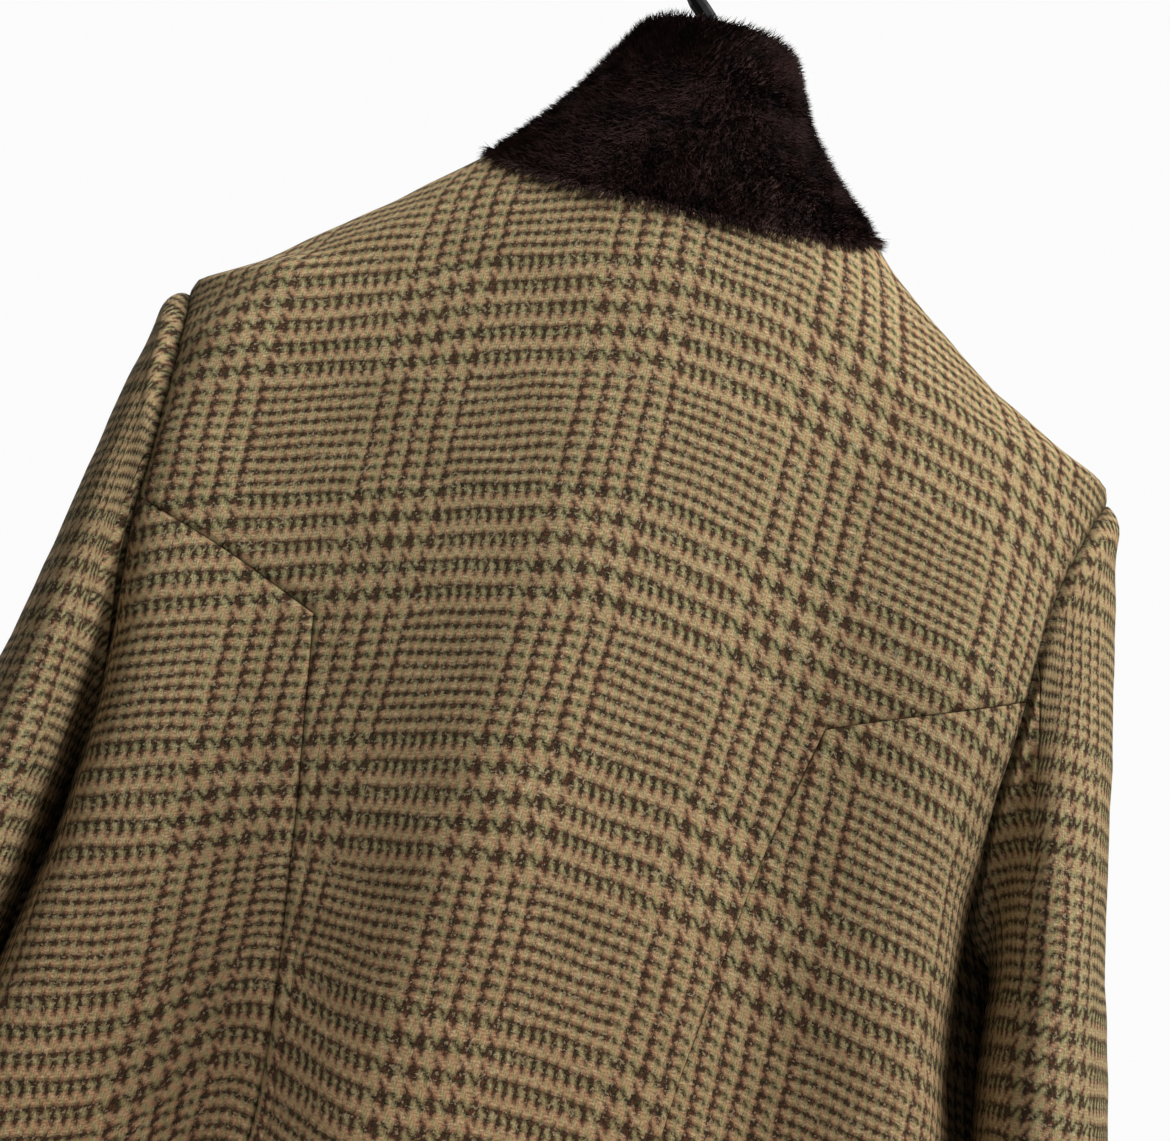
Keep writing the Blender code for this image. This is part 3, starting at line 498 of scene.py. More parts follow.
def furLook(name, deep, lit):
    look = Look(name, {"Sheen Weight": 0.06, "Sheen Roughness": 0.45, "Specular IOR Level": 0.10,
                       "Sheen Tint": srgb(150, 105, 85)})
    where = look.inSpace()
    patch = look.noise(where, 75.0, 3.0)
    clump = look.noise(where, 240.0, 2.0)
    fine = look.noise(where, 900.0, 2.0)
    share = (patch - 0.5) * 2.2 + (clump - 0.5) * 1.5 + fine * 0.4 + 0.25
    look.give("Base Color", look.mix(share, deep, lit))
    look.give("Roughness", fine * 0.3 + 0.6)
    return look.material


def hangerLook():
    look = Look("blackHanger", {"Metallic": 0.0, "Specular IOR Level": 0.5})
    where = look.inSpace()
    scuff = look.noise(where, 240.0, 5.0)
    look.give("Base Color", look.mix(scuff, srgb(22, 22, 24), srgb(44, 43, 44)))
    look.give("Roughness", scuff * 0.35 + 0.22)
    look.bump(look.noise(where, 1400.0, 2.0), 0.0001, 0.3)
    return look.material


def buttonLook():
    look = Look("brownHornButton", {"Specular IOR Level": 0.5, "Coat Weight": 0.15})
    where = look.inSpace()
    bands = look.node("ShaderNodeTexWave", {"bands_direction": "DIAGONAL"},
                      {"Vector": where, "Scale": 60.0, "Distortion": 9.0, "Detail": 3.0}, 1)
    colour = look.mix(bands, srgb(44, 24, 14), srgb(104, 66, 38))
    look.give("Base Color", look.mix(look.noise(where, 420.0) * 0.5, colour, srgb(30, 18, 12)))
    look.give("Roughness", look.noise(where, 700.0) * 0.3 + 0.25)
    return look.material


wool = tweedLook("checkedWool")
fur = furLook("deepBrownFur", furNumbers["deep"], furNumbers["lit"])
paleFur = furLook("paleFurTips", furNumbers["lit"], furNumbers["tip"])
black = hangerLook()
horn = buttonLook()
print("materials made")


# cloth
pieces, flatSizes = {}, {}


def linked(name, data):
    obj = bpy.data.objects.new(name, data)
    bpy.context.scene.collection.objects.link(obj)
    return obj


def giveValues(mesh, name, kind, values):
    data = mesh.attributes.new(name, kind, "POINT").data
    data.foreach_set("value" if kind == "FLOAT" else "vector", values.astype(np.float32).ravel())


def addPiece(name, mesh, finish, replaced=(), smoothShade=True):
    if finish.name not in mesh.materials:
        mesh.materials.clear()
        mesh.materials.append(finish)
    if smoothShade:
        mesh.shade_smooth()
    obj = linked(name, mesh)
    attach(obj, "root")
    if replaced:
        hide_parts(*replaced)
    pieces[name] = obj
    return obj


def rimOf(cells):
    edges = {}
    for cell in cells:
        for a, b in zip(cell, cell[1:] + cell[:1]):
            edges[(a, b)] = True
    return [edge for edge in edges if edge[::-1] not in edges]


def quadsOf(rows, columns, columnsAtRow=None):
    # the faces between the points of a grid, row by row
    quads = []
    for r in range(rows - 1):
        low, high = columnsAtRow(r) if columnsAtRow else (0, columns - 1)
        for a in range(r * columns + low, r * columns + high):
            quads.append((a, a + 1, a + columns + 1, a + columns))
    return quads


def running(points, axis=1):
    # distance from the first point along a grid's rows (1) or columns (0)
    step = np.linalg.norm(np.diff(points, axis=axis), axis=-1)
    first = np.zeros_like(step[:1] if axis == 0 else step[:, :1])
    return join([first, np.cumsum(step, axis=axis)], axis=axis)


def waves(points, table):
    # a sum of products of sine waves laid through space
    x, y, z = (points[..., k] for k in range(3))
    height = np.zeros_like(x)
    for size, *product in table:
        for a, b, c, start in product:
            size = size * np.sin(a * x + b * z + c * y + start)
        height = height + size
    return height


def closeLines(count, seams):
    # line numbers of a grid, with two more lines on each side of every seam
    extra = {seam + way * share for seam in seams for way in (-1, 1) for share in body["seamLines"]}
    extra = {line for line in extra if 0 < line < count - 1}
    return np.array(sorted({float(k) for k in range(count)} | extra))


def between(grid, rows, columns):
    # a grid read at broken line numbers
    for axis, lines in ((0, rows), (1, columns)):
        low = np.minimum(lines.astype(int), grid.shape[axis] - 2)
        share = (lines - low).reshape((-1, 1, 1) if axis == 0 else (1, -1, 1))
        grid = np.take(grid, low, axis) * (1 - share) + np.take(grid, low + 1, axis) * share
    return grid


def seamed(*grids):
    # a panel's grids with close lines along all four edges
    count, wide = grids[0].shape[:2]
    rows, columns = closeLines(count, (0, count - 1)), closeLines(wide, (0, wide - 1))
    return [between(grid, rows, columns) for grid in grids]


def clothPanel(name, points, normals, uv, columnsAtRow=None):
    # one closed wall from a grid: outer skin, inner skin and rims; its edges dip into the seams, and painted
    # shade darkens it along its rims and the armhole seams
    grid = points
    cells = quadsOf(*points.shape[:2], columnsAtRow)
    used = sorted({vertex for cell in cells for vertex in cell})
    index = {vertex: k for k, vertex in enumerate(used)}
    cells = [tuple(index[vertex] for vertex in cell) for cell in cells]
    points, normals, uv = (array.reshape(-1, array.shape[-1])[used] for array in (points, normals, uv))
    a, b, c = (points[[cell[k] for cell in cells]] for k in (0, 1, 3))
    if np.sum(np.cross(b - a, c - a) * normals[[cell[0] for cell in cells]]) < 0:
        cells = [cell[::-1] for cell in cells]
    rim = rimOf(cells)
    pull = np.zeros_like(points)
    for a, b in rim:
        pull[[a, b]] += unit(np.cross(normals[a], points[b] - points[a])) * body["seamGap"] / 4
    quads, away = np.array(cells), np.full(len(points), 9)
    away[np.array(rim).ravel()] = 0
    for k in (1, 2):
        near = quads[(away[quads] == k - 1).any(axis=1)].ravel()
        away[near] = np.minimum(away[near], k)
    for k, share in enumerate(body["dipShares"]):
        pull[away == k] -= normals[away == k] * body["seamDip"] * share
    skin = points + pull
    inner = skin - normals * body["wall"]
    count = len(points)
    faces = cells + [tuple(vertex + count for vertex in cell[::-1]) for cell in cells]
    faces += [(b, a, a + count, b + count) for a, b in rim]
    mesh = bpy.data.meshes.new(name)
    mesh.from_pydata(join([skin, inner]).tolist(), [], faces)
    layer = mesh.uv_layers.new(name="cloth")
    corners = np.zeros(len(mesh.loops), dtype=np.int32)
    mesh.loops.foreach_get("vertex_index", corners)
    layer.data.foreach_set("uv", np.tile(uv, (2, 1))[corners].astype(np.float32).ravel())
    obj = addPiece(name + "_cloth", mesh, wool, (name,))
    mesh.set_sharp_from_angle(angle=math.radians(50))
    area = sum(face.area for face in mesh.polygons[: len(cells)])
    # painted shade: the rims and the cloth near the armhole seam made darker where creases fall into shade
    paintedCreaseShade = np.select([away == 0, away == 1], tweed["rimCreaseShades"], 0.0)
    for edge in armEdges:
        far = np.linalg.norm(points[:, None] - edge[None], axis=-1).min(axis=1)
        paintedCreaseShade = np.maximum(paintedCreaseShade, np.exp(-((far / tweed["armCreaseShadeWidth"]) ** 2)))
    giveValues(mesh, "paintedCreaseShade", "FLOAT", np.tile(paintedCreaseShade, 2))
    size = tuple(round(float(running(grid, axis).max()), 3) for axis in (1, 0))  # longest row, column
    area = round(float(min(area, size[0] * size[1])), 4)
    flatSizes[obj.name] = (*size, area)


ripples = (  # small soft unevenness of the hanging cloth: size, then waves by x, z, y and start
    (0.00055, (61, 23, 11, 0.0), (-29, 17, 0, 1.3)),
    (0.00035, (113, -47, 0, 2.0), (31, 71, 0, 0.0)),
    (0.00022, (83, 190, 0, 0.7), (151, -60, 0, 0.0)),
)
# where the check's bold groups lie: metres along the cloth, measured at the back
check = {
    "lean": ((-0.05, 0.0125), (0.10, 0.0125), (0.20, 0.0150), (0.30, 0.0215), (0.40, 0.0260), (0.93, 0.0300)),
    "along": (-0.2400, -0.1480, -0.0460, 0.0455, 0.1300, 0.2400),
    "cloth": (-0.2325, -0.14025, -0.04675, 0.04675, 0.14025, 0.2500),
    "droop": ((-0.05, 0.062), (0.06, 0.058), (0.17, 0.046), (0.29, 0.041), (0.40, 0.036), (0.93, 0.030)),
    "firstGroup": 0.055, "alongEdge": 0.24, "beyond": 0.010, "droopHalf": 0.2, "droopPower": 1.5,
    "lift": {"x": 0.105, "half": 0.036, "start": 0.27, "full": 0.42, "height": 0.026},
    "frontTurn": 1.6, "capEnd": 0.300, "sleeveGroup": 0.222, "topMiddle": 0.62, "underAcross": 0.03,
    "sideBacks": (("side_back_right", -0.101, 0.020), ("side_back_left", 0.138, 0.0)),
}
check["lean"], check["droop"] = np.array(check["lean"]), np.array(check["droop"])


def clothTable():
    # distance round the body at each drop, from the centre back
    turns = np.linspace(-body["turnLimit"], body["turnLimit"], 1400)
    drops = np.linspace(rings["drop"][0], body["length"], 240)
    grid = bodyPoint(*np.broadcast_arrays(turns[None], drops[:, None]))
    along = running(grid)
    middle = np.array([np.interp(0.0, turns, row) for row in along])
    return turns, drops, along - middle[:, None]


tableTurns, tableDrops, tableAlong = clothTable()


def alongCloth(turn, drop):
    a = np.interp(turn, tableTurns, np.arange(len(tableTurns)))
    d = np.interp(drop, tableDrops, np.arange(len(tableDrops)))
    i, j = np.minimum(a.astype(int), len(tableTurns) - 2), np.minimum(d.astype(int), len(tableDrops) - 2)
    s, t = a - i, d - j
    return ((1 - s) * (1 - t) * tableAlong[j, i] + s * (1 - t) * tableAlong[j, i + 1]
            + (1 - s) * t * tableAlong[j + 1, i] + s * t * tableAlong[j + 1, i + 1])


def bodyUv(turn, drop, points, anchorX=None, lower=0.0):
    if anchorX is None:
        x = np.interp(drop, check["lean"][:, 0], check["lean"][:, 1]) - ringValue("shift", drop)
        across = alongCloth(turn, drop) - alongCloth(turnAtX(x, drop), drop)
        inside = np.interp(across, check["along"], check["cloth"])
        outside = across + np.sign(across) * check["beyond"]
        across = np.where(np.abs(across) < check["alongEdge"], inside, outside)
    else:
        x = anchorX - ringValue("shift", drop)
        across = alongCloth(turn, drop) - alongCloth(turnAtX(x, drop), drop)
    sag = np.interp(drop, check["droop"][:, 0], check["droop"][:, 1])
    outward = (np.abs(points[..., 0]) / check["droopHalf"]) ** check["droopPower"]
    down = drop - sag * outward - check["firstGroup"] - lower
    lift = check["lift"]
    share = smooth((drop - lift["start"]) / (lift["full"] - lift["start"]))
    down = down + lift["height"] * share * np.exp(-(((points[..., 0] - lift["x"]) / lift["half"]) ** 2))
    return np.stack([across, down], axis=-1)


backPlaces = backGrid()
backTurn, backDrop = backPlaces[..., 0], backPlaces[..., 1]
backPoints, backNormals = onBody(backTurn, backDrop)
fronts = {}
for side, out in sides.items():
    grid = frontGrid(-body["lap"])
    turn, drop = grid[..., 0] * out, grid[..., 1]
    points, normals = onBody(turn, drop)
    if side == "left":
        points = points - normals * tuckDepth(points)[..., None]
    fronts[side] = [points, normals, turn, drop]

sleeves, armEdges = {}, []
for side, out in sides.items():
    column = -1 if out > 0 else 0
    frontPoints, frontNormals = fronts[side][:2]
    loop = join([backPoints[: armRows + 1, column], frontPoints[armRows - 1:0:-1, 0]])
    bodySide = join([backNormals[: armRows + 1, column], frontNormals[armRows - 1:0:-1, 0]])
    grid, capRows = sleeveGrid(side, loop)
    normals = gridNormals(grid, True, -out)
    joint = unit(bodySide + normals[0])
    normals[0] = joint
    backNormals[: armRows + 1, column] = joint[: armRows + 1]
    frontNormals[: armRows + 1, 0] = join([joint[:1], joint[: armRows - 1: -1]])
    sleeves[side] = [grid, normals, capRows]
    ring = join([loop, loop[:1]])[None]
    # the armhole seam, finely sampled, along which painted shade darkens the cloth
    armEdges.append(between(ring.repeat(2, axis=0), np.zeros(1), np.linspace(0, len(loop), 5 * len(loop)))[0])

leftSeam, rightSeam = backColumns + centreColumns, backColumns - centreColumns
backPoints = backPoints + backNormals * waves(backPoints, ripples)[..., None]
backUv = bodyUv(backTurn, backDrop, backPoints)
stitchRow = upperRows - body["stitchedRow"]
stitchColumns = rightSeam + body["stitchedRow"], leftSeam - body["stitchedRow"]
stitchPaths = []
for columns, place in ((np.s_[leftSeam:], -1), (np.s_[: rightSeam + 1], 0)):
    stitchPaths.append((backPoints[stitchRow, columns], backNormals[stitchRow, columns]))
for column in stitchColumns:
    stitchPaths.append((backPoints[stitchRow:, column], backNormals[stitchRow:, column]))
backRows = closeLines(len(backPoints), (0, stitchRow, upperRows, len(backPoints) - 1))
backLines = closeLines(2 * backColumns + 1, (0, rightSeam, *stitchColumns, leftSeam, 2 * backColumns))
sideTurn, sideDrop = (between(grid[..., None], backRows, backLines)[..., 0] for grid in (backTurn, backDrop))
backPoints, backNormals, backUv = (
    between(grid, backRows, backLines) for grid in (backPoints, backNormals, backUv)
)
seamRow, seamLeft, seamRight = (
    int(np.searchsorted(lines, line))
    for lines, line in ((backRows, upperRows), (backLines, leftSeam), (backLines, rightSeam))
)
grooved = np.zeros(backPoints.shape[:2], dtype=bool)
grooved[int(np.searchsorted(backRows, stitchRow)), (backLines >= leftSeam) | (backLines <= rightSeam)] = True
for column in stitchColumns:
    grooved[int(np.searchsorted(backRows, stitchRow)):, int(np.searchsorted(backLines, column))] = True
backPoints = backPoints - backNormals * np.where(grooved, body["stitchDip"], 0.0)[..., None]
lastColumn = len(backLines) - 1


def backColumnsAtRow(r):
    return (0, lastColumn) if r < seamRow else (seamRight, seamLeft)


clothPanel("back_panel", backPoints, backNormals, backUv, backColumnsAtRow)
for (low, high), (name, anchorX, lower) in zip(((0, seamRight), (seamLeft, lastColumn)), check["sideBacks"]):
    part = np.s_[seamRow:, low: high + 1]
    uv = bodyUv(sideTurn[part], sideDrop[part], backPoints[part], anchorX, lower)
    clothPanel(name, backPoints[part], backNormals[part], uv)
for side, (points, normals, turn, drop) in fronts.items():
    points = points + normals * waves(points, ripples)[..., None]
    turnSafe = np.clip(turn, -body["turnLimit"], body["turnLimit"])
    across = alongCloth(turnSafe, drop) - alongCloth(np.full_like(drop, check["frontTurn"] * sides[side]), drop)
    uv = np.stack([across, bodyUv(turnSafe, drop, points, 0.0)[..., 1]], axis=-1)
    clothPanel(f"front_{side}", *seamed(points, normals, uv))

sleeveHead = {"rise": 0.0020, "place": 0.014, "width": 0.009, "dip": 0.0013, "dipWidth": 0.005, "calm": 12}
for side, (grid, normals, capRows) in sleeves.items():
    calm = smooth(np.linspace(0, sleeveHead["calm"], len(grid)))[:, None, None]
    grid = grid + normals * waves(grid, ripples)[..., None] * calm
    down = running(grid, 0)
    roll = sleeveHead["rise"] * np.exp(-(((down - sleeveHead["place"]) / sleeveHead["width"]) ** 2))
    roll = roll - sleeveHead["dip"] * np.exp(-((down / sleeveHead["dipWidth"]) ** 2))
    grid = grid + normals * roll[..., None]
    down = down - down[capRows] + check["capEnd"]
    for name, low, high in (
        ("top_sleeve", frontSeam, 2 * armRows + backSeam),
        ("under_sleeve", backSeam, frontSeam),
    ):
        columns = np.arange(low, high + 1) % grid.shape[1]
        points = grid[:, columns]
        along = running(points)
        if name == "top_sleeve":
            along = along - along[:, [(2 * armRows - low) + round(backSeam * check["topMiddle"])]]
        else:
            along = along - along[:, [along.shape[1] // 2]] + check["underAcross"]
        uv = np.stack([along * sides[side], down[:, columns] - check["sleeveGroup"]], axis=-1)
        clothPanel(f"{name}_{side}", *seamed(points, normals[:, columns], uv))
print("cloth made", flatSizes)


# stitching beside the back seams
stitching = {
    "step": 0.0036, "length": 0.0027, "radius": 0.00018, "sink": 0.0004,
    "dark": srgb(60, 50, 36), "light": srgb(118, 100, 70),
}


def newTree(name, rows):
    # a node tree with named inputs and one output: its node maker, the inputs' identifiers and sockets
    tree = bpy.data.node_groups.new(name, "GeometryNodeTree")
    made = {}
    for label, kind, value in rows:
        item = tree.interface.new_socket(label, in_out="INPUT", socket_type="NodeSocket" + kind)
        if value is not None:
            item.default_value = value
        made[label] = item.identifier
    tree.interface.new_socket("Result", in_out="OUTPUT", socket_type="NodeSocketGeometry")
    node = partial(addNode, tree)
    return node, made, node("NodeGroupInput").outputs


def finishTree(node, placed, finish, along):
    # one thing set along every point's vector, made real and given its material
    turn = node("FunctionNodeAlignRotationToVector", {"axis": "Z"}, {"Vector": along})
    copies = node("GeometryNodeInstanceOnPoints", None, {**placed, "Rotation": turn.outputs[0]})
    real = node("GeometryNodeRealizeInstances", None, {"Geometry": copies.outputs[0]})
    coated = node("GeometryNodeSetMaterial", None, {"Geometry": real.outputs[0], "Material": finish})
    node("NodeGroupOutput", None, {"Result": coated.outputs[0]})
    return coated.id_data


def stitchTree():
    node, made, given = newTree("seamStitches", (
        ("Path", "Geometry", None), ("Step", "Float", stitching["step"]),
        ("Length", "Float", stitching["length"]), ("Radius", "Float", stitching["radius"]),
        ("Finish", "Material", None),
    ))
    curve = node("GeometryNodeMeshToCurve", None, {"Mesh": given["Path"]})
    places = node("GeometryNodeCurveToPoints", {"mode": "LENGTH"},
                  {"Curve": curve.outputs[0], "Length": given["Step"]}).outputs
    thread = node("GeometryNodeMeshCylinder", {"fill_type": "NGON"},
                  {"Vertices": 6, "Radius": given["Radius"], "Depth": given["Length"]})
    placed = {"Points": places["Points"], "Instance": thread.outputs["Mesh"]}
    return finishTree(node, placed, given["Finish"], places["Tangent"]), made


def grown(name, mesh, tree, settings):
    # a mesh run through a node tree, as a plain mesh
    obj = linked(name + "_seeded", mesh)
    modifier = obj.modifiers.new(name, "NODES")
    modifier.node_group = tree
    for key, value in settings.items():
        modifier[key] = value
    depsgraph = bpy.context.evaluated_depsgraph_get()
    depsgraph.update()
    made = bpy.data.meshes.new_from_object(obj.evaluated_get(depsgraph))
    bpy.data.objects.remove(obj, do_unlink=True)
    return made


def threadLook():
    look = Look("seamThread", {"Specular IOR Level": 0.2, "Sheen Weight": 0.1})
    where = look.inSpace()
    look.give("Base Color", look.mix(look.noise(where, 1900.0), stitching["dark"], stitching["light"]))
    look.give("Roughness", look.noise(where, 900.0) * 0.2 + 0.6)
    return look.material


thread = threadLook()
paths = bpy.data.meshes.new("stitchPaths")
stitchPoints, stitchEdges = [], []
for points, normals in stitchPaths:
    first = len(stitchPoints)
    stitchPoints += (points - normals * stitching["sink"]).tolist()
    stitchEdges += [(k, k + 1) for k in range(first, len(stitchPoints) - 1)]
paths.from_pydata(stitchPoints, stitchEdges, [])
sewTree, sewInputs = stitchTree()
sewn = grown("seam_stitches", paths, sewTree, {sewInputs["Finish"]: thread})
addPiece("seam_stitches", sewn, thread)
print("stitches made", len(pieces["seam_stitches"].data.polygons), "faces")


# fur collar
collar = {
    "endGap": 0.0025, "topHalf": 0.039, "topShift": 0.005, "topRise": 0.107, "topBackY": 0.047,
    "topFrontY": -0.087, "topRound": 0.9, "topSwell": 0.010, "topFall": 0.075, "fallFrom": 0.35, "topPull": 0.45,
    "sunk": 0.0015, "foot": 0.012, "bellyLeft": 0.022, "bellyRight": 0.010, "thin": 0.45, "lower": 0.006,
    "profile": (  # up the wall, out of its middle; outer side first
        (0.00, 0.0016), (0.09, 0.0030), (0.20, 0.0058), (0.36, 0.0078), (0.56, 0.0082), (0.76, 0.0080),
        (0.90, 0.0070), (0.975, 0.0042), (1.00, 0.0), (0.975, -0.0042), (0.88, -0.0066), (0.62, -0.0072),
        (0.36, -0.0066), (0.17, -0.0045), (0.07, -0.0022), (0.00, -0.0016),
    ),
}


def neckline(side):
    back, front = neckCurveBack(16), neckCurveFront(28)[1:]
    turns = join([turnAtX(back[:, 0], back[:, 1]), turnAtX(front[:, 0], front[:, 1], front=True)])
    turns, drops = turns * sides[side], join([back[:, 1], front[:, 1]])
    points, normals = onBody(turns, drops)
    if side == "left":  # tucked under at the front only
        depth = tuckDepth(points)
        depth[: len(back)] = 0
        points = points - normals * depth[..., None]
    points[-1] += (points[-2] - points[-1]) * collar["endGap"] / 2 / abs(points[-2, 0] - points[-1, 0])
    return points, normals


def collarTop(share):
    side, share = np.sign(share), np.abs(share)
    angle = share * math.pi
    x = collar["topShift"] + side * collar["topHalf"] * np.abs(np.sin(angle)) ** collar["topRound"]
    y = (collar["topBackY"] + collar["topFrontY"]) / 2
    y = y + (collar["topBackY"] - collar["topFrontY"]) / 2 * np.cos(angle)
    fall = smooth((share - collar["fallFrom"]) / (1 - collar["fallFrom"]))
    z = body["neckZ"] + collar["topRise"] + collar["topSwell"] * np.sin(angle) ** 2 - collar["topFall"] * fall
    return np.stack([x, y, z], axis=-1)


def collarWall():
    # rings of the wall under the fur: rows round its section, columns round the neck
    (left, leftOut), (right, rightOut) = neckline("left"), neckline("right")
    edge = join([right[:0:-1], left])
    cloth = join([rightOut[:0:-1], leftOut])
    leave = unit(np.cross(cloth, np.gradient(edge, axis=0)))
    leave = leave * np.sign(leave[:, 2:])
    leave[[0, -1], 0] = 0
    leave = unit(leave)
    base = edge - cloth * collar["sunk"] + leave * body["seamGap"]
    share = running(edge, 0)
    half = share[len(left) - 1]
    share = np.where(share < half, share / half - 1, (share - half) / (share[-1] - half))
    top = collarTop(share)
    top[[0, -1], 0] += (-collar["endGap"] / 2, collar["endGap"] / 2)
    height = np.linalg.norm(top - base, axis=-1, keepdims=True)
    top = top - np.array([0, 0, collar["lower"]])
    points = np.stack([
        base, base + leave * collar["foot"], top - np.array([0, 0, collar["topPull"]]) * height, top,
    ])
    belly = np.where(share > 0, collar["bellyLeft"], -collar["bellyRight"])
    points[2, :, 0] += belly * np.sin(np.abs(share) * math.pi)
    levels, outs = np.array(collar["profile"]).T
    spaced = np.linspace(0, len(levels) - 1, 4 * (len(levels) - 1) + 1)
    steps = np.arange(len(levels), dtype=float)
    levels, outs = (through(steps, column, spaced)[:, None, None] for column in (levels, outs))

    def curve(t):
        near, far = 3 * t * (1 - t) ** 2, 3 * t**2 * (1 - t)
        return (1 - t) ** 3 * points[0] + near * points[1] + far * points[2] + t**3 * points[3]

    middle = curve(levels)
    high = np.minimum(levels + 0.01, 1.0)
    up = unit(curve(high) - curve(high - 0.02))
    out = unit(np.cross(np.gradient(middle, axis=1), up))
    out[0] = out[-1] = cloth
    out[:, [0, -1], 0] = 0
    out = unit(out)
    wall = middle + out * outs * collar["thin"]
    return wall, up, out * np.sign(outs + 1e-9), levels[:, 0, 0]


wall, collarUp, collarOut, collarLevels = collarWall()
wallRows, wallColumns = wall.shape[:2]
faces = quadsOf(wallRows, wallColumns)
last = (wallRows - 1) * wallColumns
faces += [(last + c, last + c + 1, c + 1, c) for c in range(wallColumns - 1)]
faces += [tuple(r * wallColumns for r in range(wallRows))]
faces += [tuple(r * wallColumns + wallColumns - 1 for r in reversed(range(wallRows)))]
hide = bmesh.new()
collarMesh = bpy.data.meshes.new("collarHide")
collarMesh.from_pydata(wall.reshape(-1, 3).tolist(), [], faces)
hide.from_mesh(collarMesh)
bmesh.ops.recalc_face_normals(hide, faces=hide.faces)
if hide.calc_volume(signed=True) < 0:
    bmesh.ops.reverse_faces(hide, faces=hide.faces)
hide.to_mesh(collarMesh)
hide.free()
addPiece("collar_hide", collarMesh, fur, ("collar",))


def furTree():
    node, made, given = newTree("furHairs", (
        ("Hide", "Geometry", None), ("Hairs per square metre", "Float", furNumbers["density"]),
        ("Hair length", "Float", furNumbers["length"]), ("Hair width", "Float", furNumbers["width"]),
        ("Stray", "Float", furNumbers["jitter"]), ("Seed", "Int", 7), ("Finish", "Material", None),
    ))
    seed = given["Seed"]
    spread = node("GeometryNodeDistributePointsOnFaces", {"distribute_method": "RANDOM"},
                  {"Mesh": given["Hide"], "Density": given["Hairs per square metre"], "Seed": seed})
    comb, reach = (
        node("GeometryNodeInputNamedAttribute", {"data_type": kind}, {"Name": name}).outputs["Attribute"]
        for name, kind in (("comb", "FLOAT_VECTOR"), ("reach", "FLOAT"))
    )
    stray = node("FunctionNodeRandomValue", {"data_type": "FLOAT_VECTOR"},
                 {0: (-1.0, -1.0, -1.0), 1: (1.0, 1.0, 1.0), "Seed": seed})
    strayed = node("ShaderNodeVectorMath", {"operation": "SCALE"}, {0: stray.outputs[0], "Scale": given["Stray"]})
    way = node("ShaderNodeVectorMath", {"operation": "ADD"}, {0: comb, 1: strayed.outputs[0]})
    shortest, longest = furNumbers["uneven"]
    length = node("FunctionNodeRandomValue", {"data_type": "FLOAT"}, {2: shortest, 3: longest, "Seed": 19})
    scaled = node("ShaderNodeMath", {"operation": "MULTIPLY"}, {0: length.outputs[1], 1: reach})
    size = node("ShaderNodeCombineXYZ", None, {"X": 1.0, "Y": 1.0, "Z": scaled.outputs[0]})
    hair = node("GeometryNodeMeshCone", {"fill_type": "NGON"},
                {"Vertices": 3, "Side Segments": 1, "Fill Segments": 1, "Radius Top": 0.0,
                 "Radius Bottom": given["Hair width"], "Depth": given["Hair length"]})
    placed = {"Points": spread.outputs["Points"], "Instance": hair.outputs["Mesh"], "Scale": size.outputs[0]}
    return finishTree(node, placed, given["Finish"], way.outputs[0]), made


def furPiece(name, rows, columns, seed, density=1.0, finish=fur, longer=1.0, raised=0.0):
    points = wall[rows, columns] + collarOut[rows, columns] * raised
    mesh = bpy.data.meshes.new(name)
    mesh.from_pydata(points.reshape(-1, 3).tolist(), [], quadsOf(*points.shape[:2]))
    giveValues(mesh, "comb", "FLOAT_VECTOR", combWay[rows, columns])
    giveValues(mesh, "reach", "FLOAT", combReach[rows, columns] * longer)
    hairs = grown(name, mesh, hairTree, {
        hairInputs["Seed"]: seed, hairInputs["Hairs per square metre"]: furNumbers["density"] * density,
        hairInputs["Finish"]: finish,
    })
    print(name, sum(len(face.vertices) - 2 for face in hairs.polygons), "triangles")
    addPiece(name, hairs, finish, ("collar",), smoothShade=False)


comb = {  # which way the hairs lie; the waves as in ripples
    "swirl": ((0.35, (41, 57, 0, 0.4)), (0.22, (-63, 97, 0, 1.9)), (0.45, (310, 140, 0, 0), (-90, 270, 0, 0.8))),
    "lift": ((0.20, (130, 90, 0, 0)),), "out": 0.80, "outFoot": 0.25, "topSide": 0.45, "down": 0.70,
    "topUp": 1.15, "footDown": 0.45, "topFrom": 0.74, "topSpan": 0.16, "footSpan": 0.10, "footReach": 0.55,
}
hairTree, hairInputs = furTree()
level = collarLevels[:, None, None]
sideways = unit(np.gradient(wall, axis=1))
swirl, lift = (waves(wall, comb[name])[..., None] for name in ("swirl", "lift"))
topBand = smooth((level - comb["topFrom"]) / comb["topSpan"])
footBand = 1 - smooth(level / comb["footSpan"])
combWay = unit(
    collarOut * (comb["out"] + lift - comb["outFoot"] * footBand)
    + sideways * (swirl * (1 - topBand) - comb["topSide"] * topBand)
    - collarUp * (comb["down"] - comb["topUp"] * topBand + comb["footDown"] * footBand)
)
combReach = 1.0 + comb["footReach"] * footBand[..., 0] * np.ones_like(wall[..., 0])
outerRows = np.s_[: wallRows // 2 + 1]
innerRows = np.s_[wallRows // 2:]
third = wallColumns // 3
furPiece("fur_back", outerRows, np.s_[third - 4: 2 * third + 6], 11, 0.92)
furPiece("fur_right", outerRows, np.s_[: third - 3], 12)
furPiece("fur_left", outerRows, np.s_[2 * third + 5:], 13)
furPiece("fur_inside", innerRows, np.s_[:], 14, 0.45)
furPiece("fur_foot", np.s_[:6], np.s_[:], 16, 0.6, fur, 1.05, 0.0022)
furPiece("fur_rim", np.s_[wallRows // 2 - 3: wallRows // 2 + 4], np.s_[:], 15, 0.16, paleFur, 1.15)
print("fur made")

# parts kept as they are in the frame
finishes = dict.fromkeys(("hanger", "hook_socket", "hook"), black)
finishes.update({f"button_{k}": horn for k in range(1, 5)})
for name, finish in finishes.items():
    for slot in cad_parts[name].material_slots:
        slot.material = finish

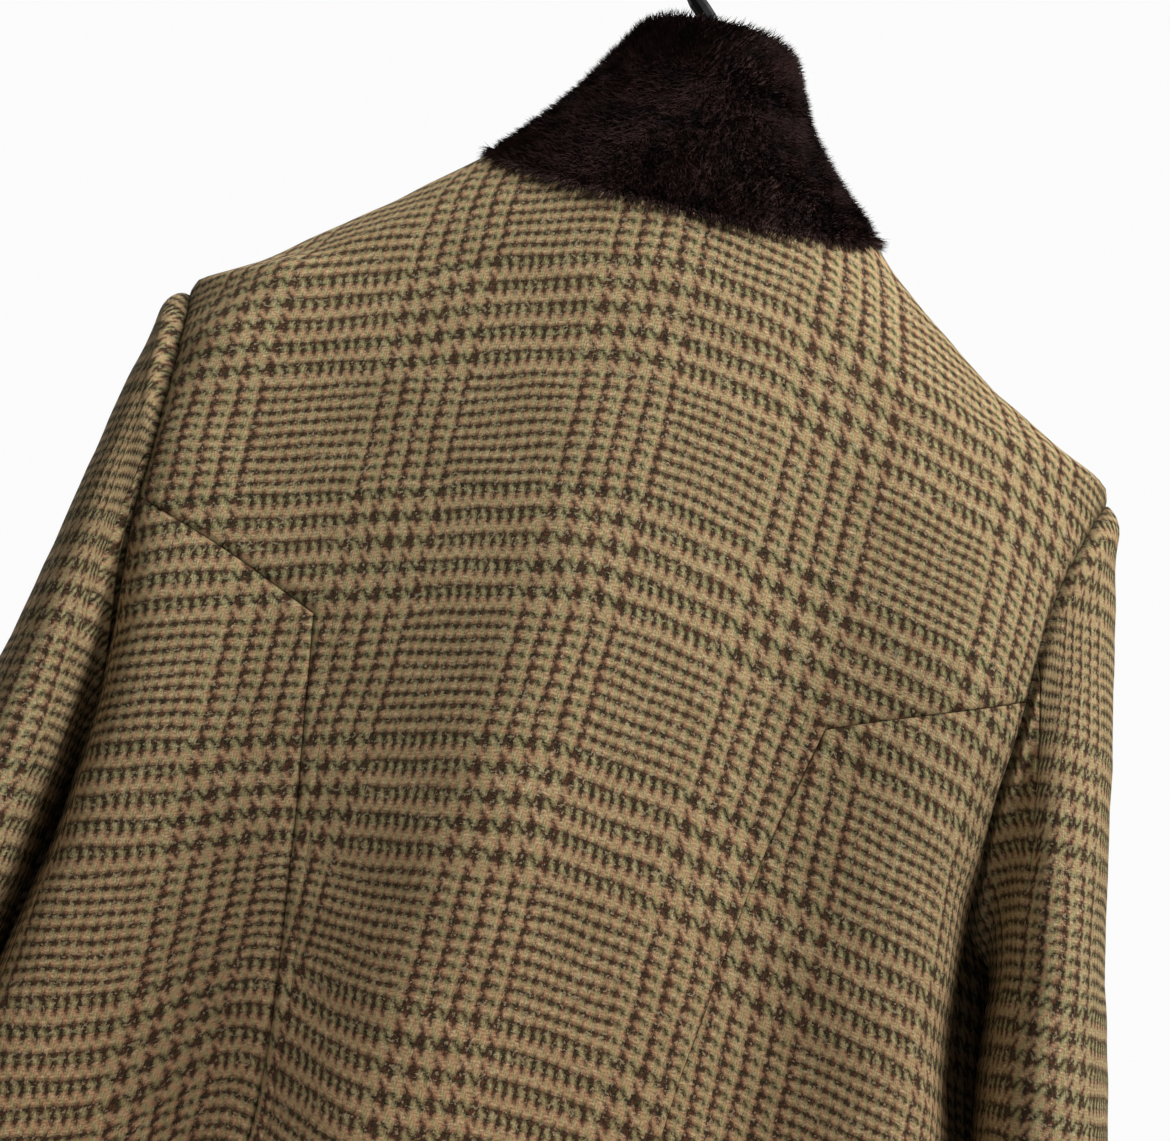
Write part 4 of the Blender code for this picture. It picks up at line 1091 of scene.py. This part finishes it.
# stage, light, camera
studio = {
    "floorZ": -1.32, "floorHalf": 1.7, "floorColour": srgb(236, 236, 234),
    "world": srgb(255, 255, 255), "seenPower": 0.97, "litPower": 0.07, "aim": (0.0, 0.0, -0.45),
    "lights": (  # name, place, power, size
        ("key", (-1.15, 1.07, 1.30), 52.0, 0.7), ("top", (0.0, 0.25, 1.6), 12.0, 1.0),
        ("front", (0.9, -1.9, 0.7), 26.0, 1.6),
    ),
}


def areaLight(name, place, power, size):
    data = bpy.data.lights.new(name, "AREA")
    data.energy, data.size = power, size
    light = linked(name, data)
    light.location = place
    light.rotation_euler = (Vector(studio["aim"]) - Vector(place)).to_track_quat("-Z", "Y").to_euler()


half = studio["floorHalf"]
floorMesh = bpy.data.meshes.new("floor")
corners = ((-half, -half), (half, -half), (half, half), (-half, half))
floorMesh.from_pydata([(*corner, studio["floorZ"]) for corner in corners], [], [(0, 1, 2, 3)])
floorLook = Look("paleFloor", {"Base Color": studio["floorColour"], "Roughness": 0.9})
floorMesh.materials.append(floorLook.material)
linked("floor", floorMesh)

world = bpy.data.worlds.new("studio")
world.use_nodes = True
behind = world.node_tree.nodes["Background"].inputs
behind["Color"].default_value = studio["world"]
rays = addNode(world.node_tree, "ShaderNodeLightPath")  # the white behind is brighter than the light it gives
power = addNode(world.node_tree, "ShaderNodeMapRange", None, {
    "Value": rays.outputs["Is Camera Ray"], "To Min": studio["litPower"], "To Max": studio["seenPower"],
})
world.node_tree.links.new(power.outputs["Result"], behind["Strength"])
bpy.context.scene.world = world
bpy.context.scene.view_settings.view_transform = "Standard"
for light in studio["lights"]:
    areaLight(*light)

view = {"place": (0.010855, 0.938803, -0.529364), "lens": 63.786, "sensor": 36.0, "rise": 12.0, "roll": 13.0}
rise, roll = math.radians(view["rise"]), math.radians(view["roll"])
ahead = Vector((0, -math.cos(rise), math.sin(rise)))
up = Vector((0, math.sin(rise), math.cos(rise)))
right = Vector((-1, 0, 0))
rolledUp = up * math.cos(roll) - right * math.sin(roll)
rolledRight = right * math.cos(roll) + up * math.sin(roll)
camera = linked("camera", bpy.data.cameras.new("camera"))
camera.data.lens, camera.data.sensor_width = view["lens"], view["sensor"]
camera.data.sensor_fit, camera.data.clip_start = "HORIZONTAL", 0.01
facing = Matrix((rolledRight, rolledUp, -ahead)).transposed().to_4x4()
camera.matrix_world = Matrix.Translation(view["place"]) @ facing
bpy.context.scene.camera = camera
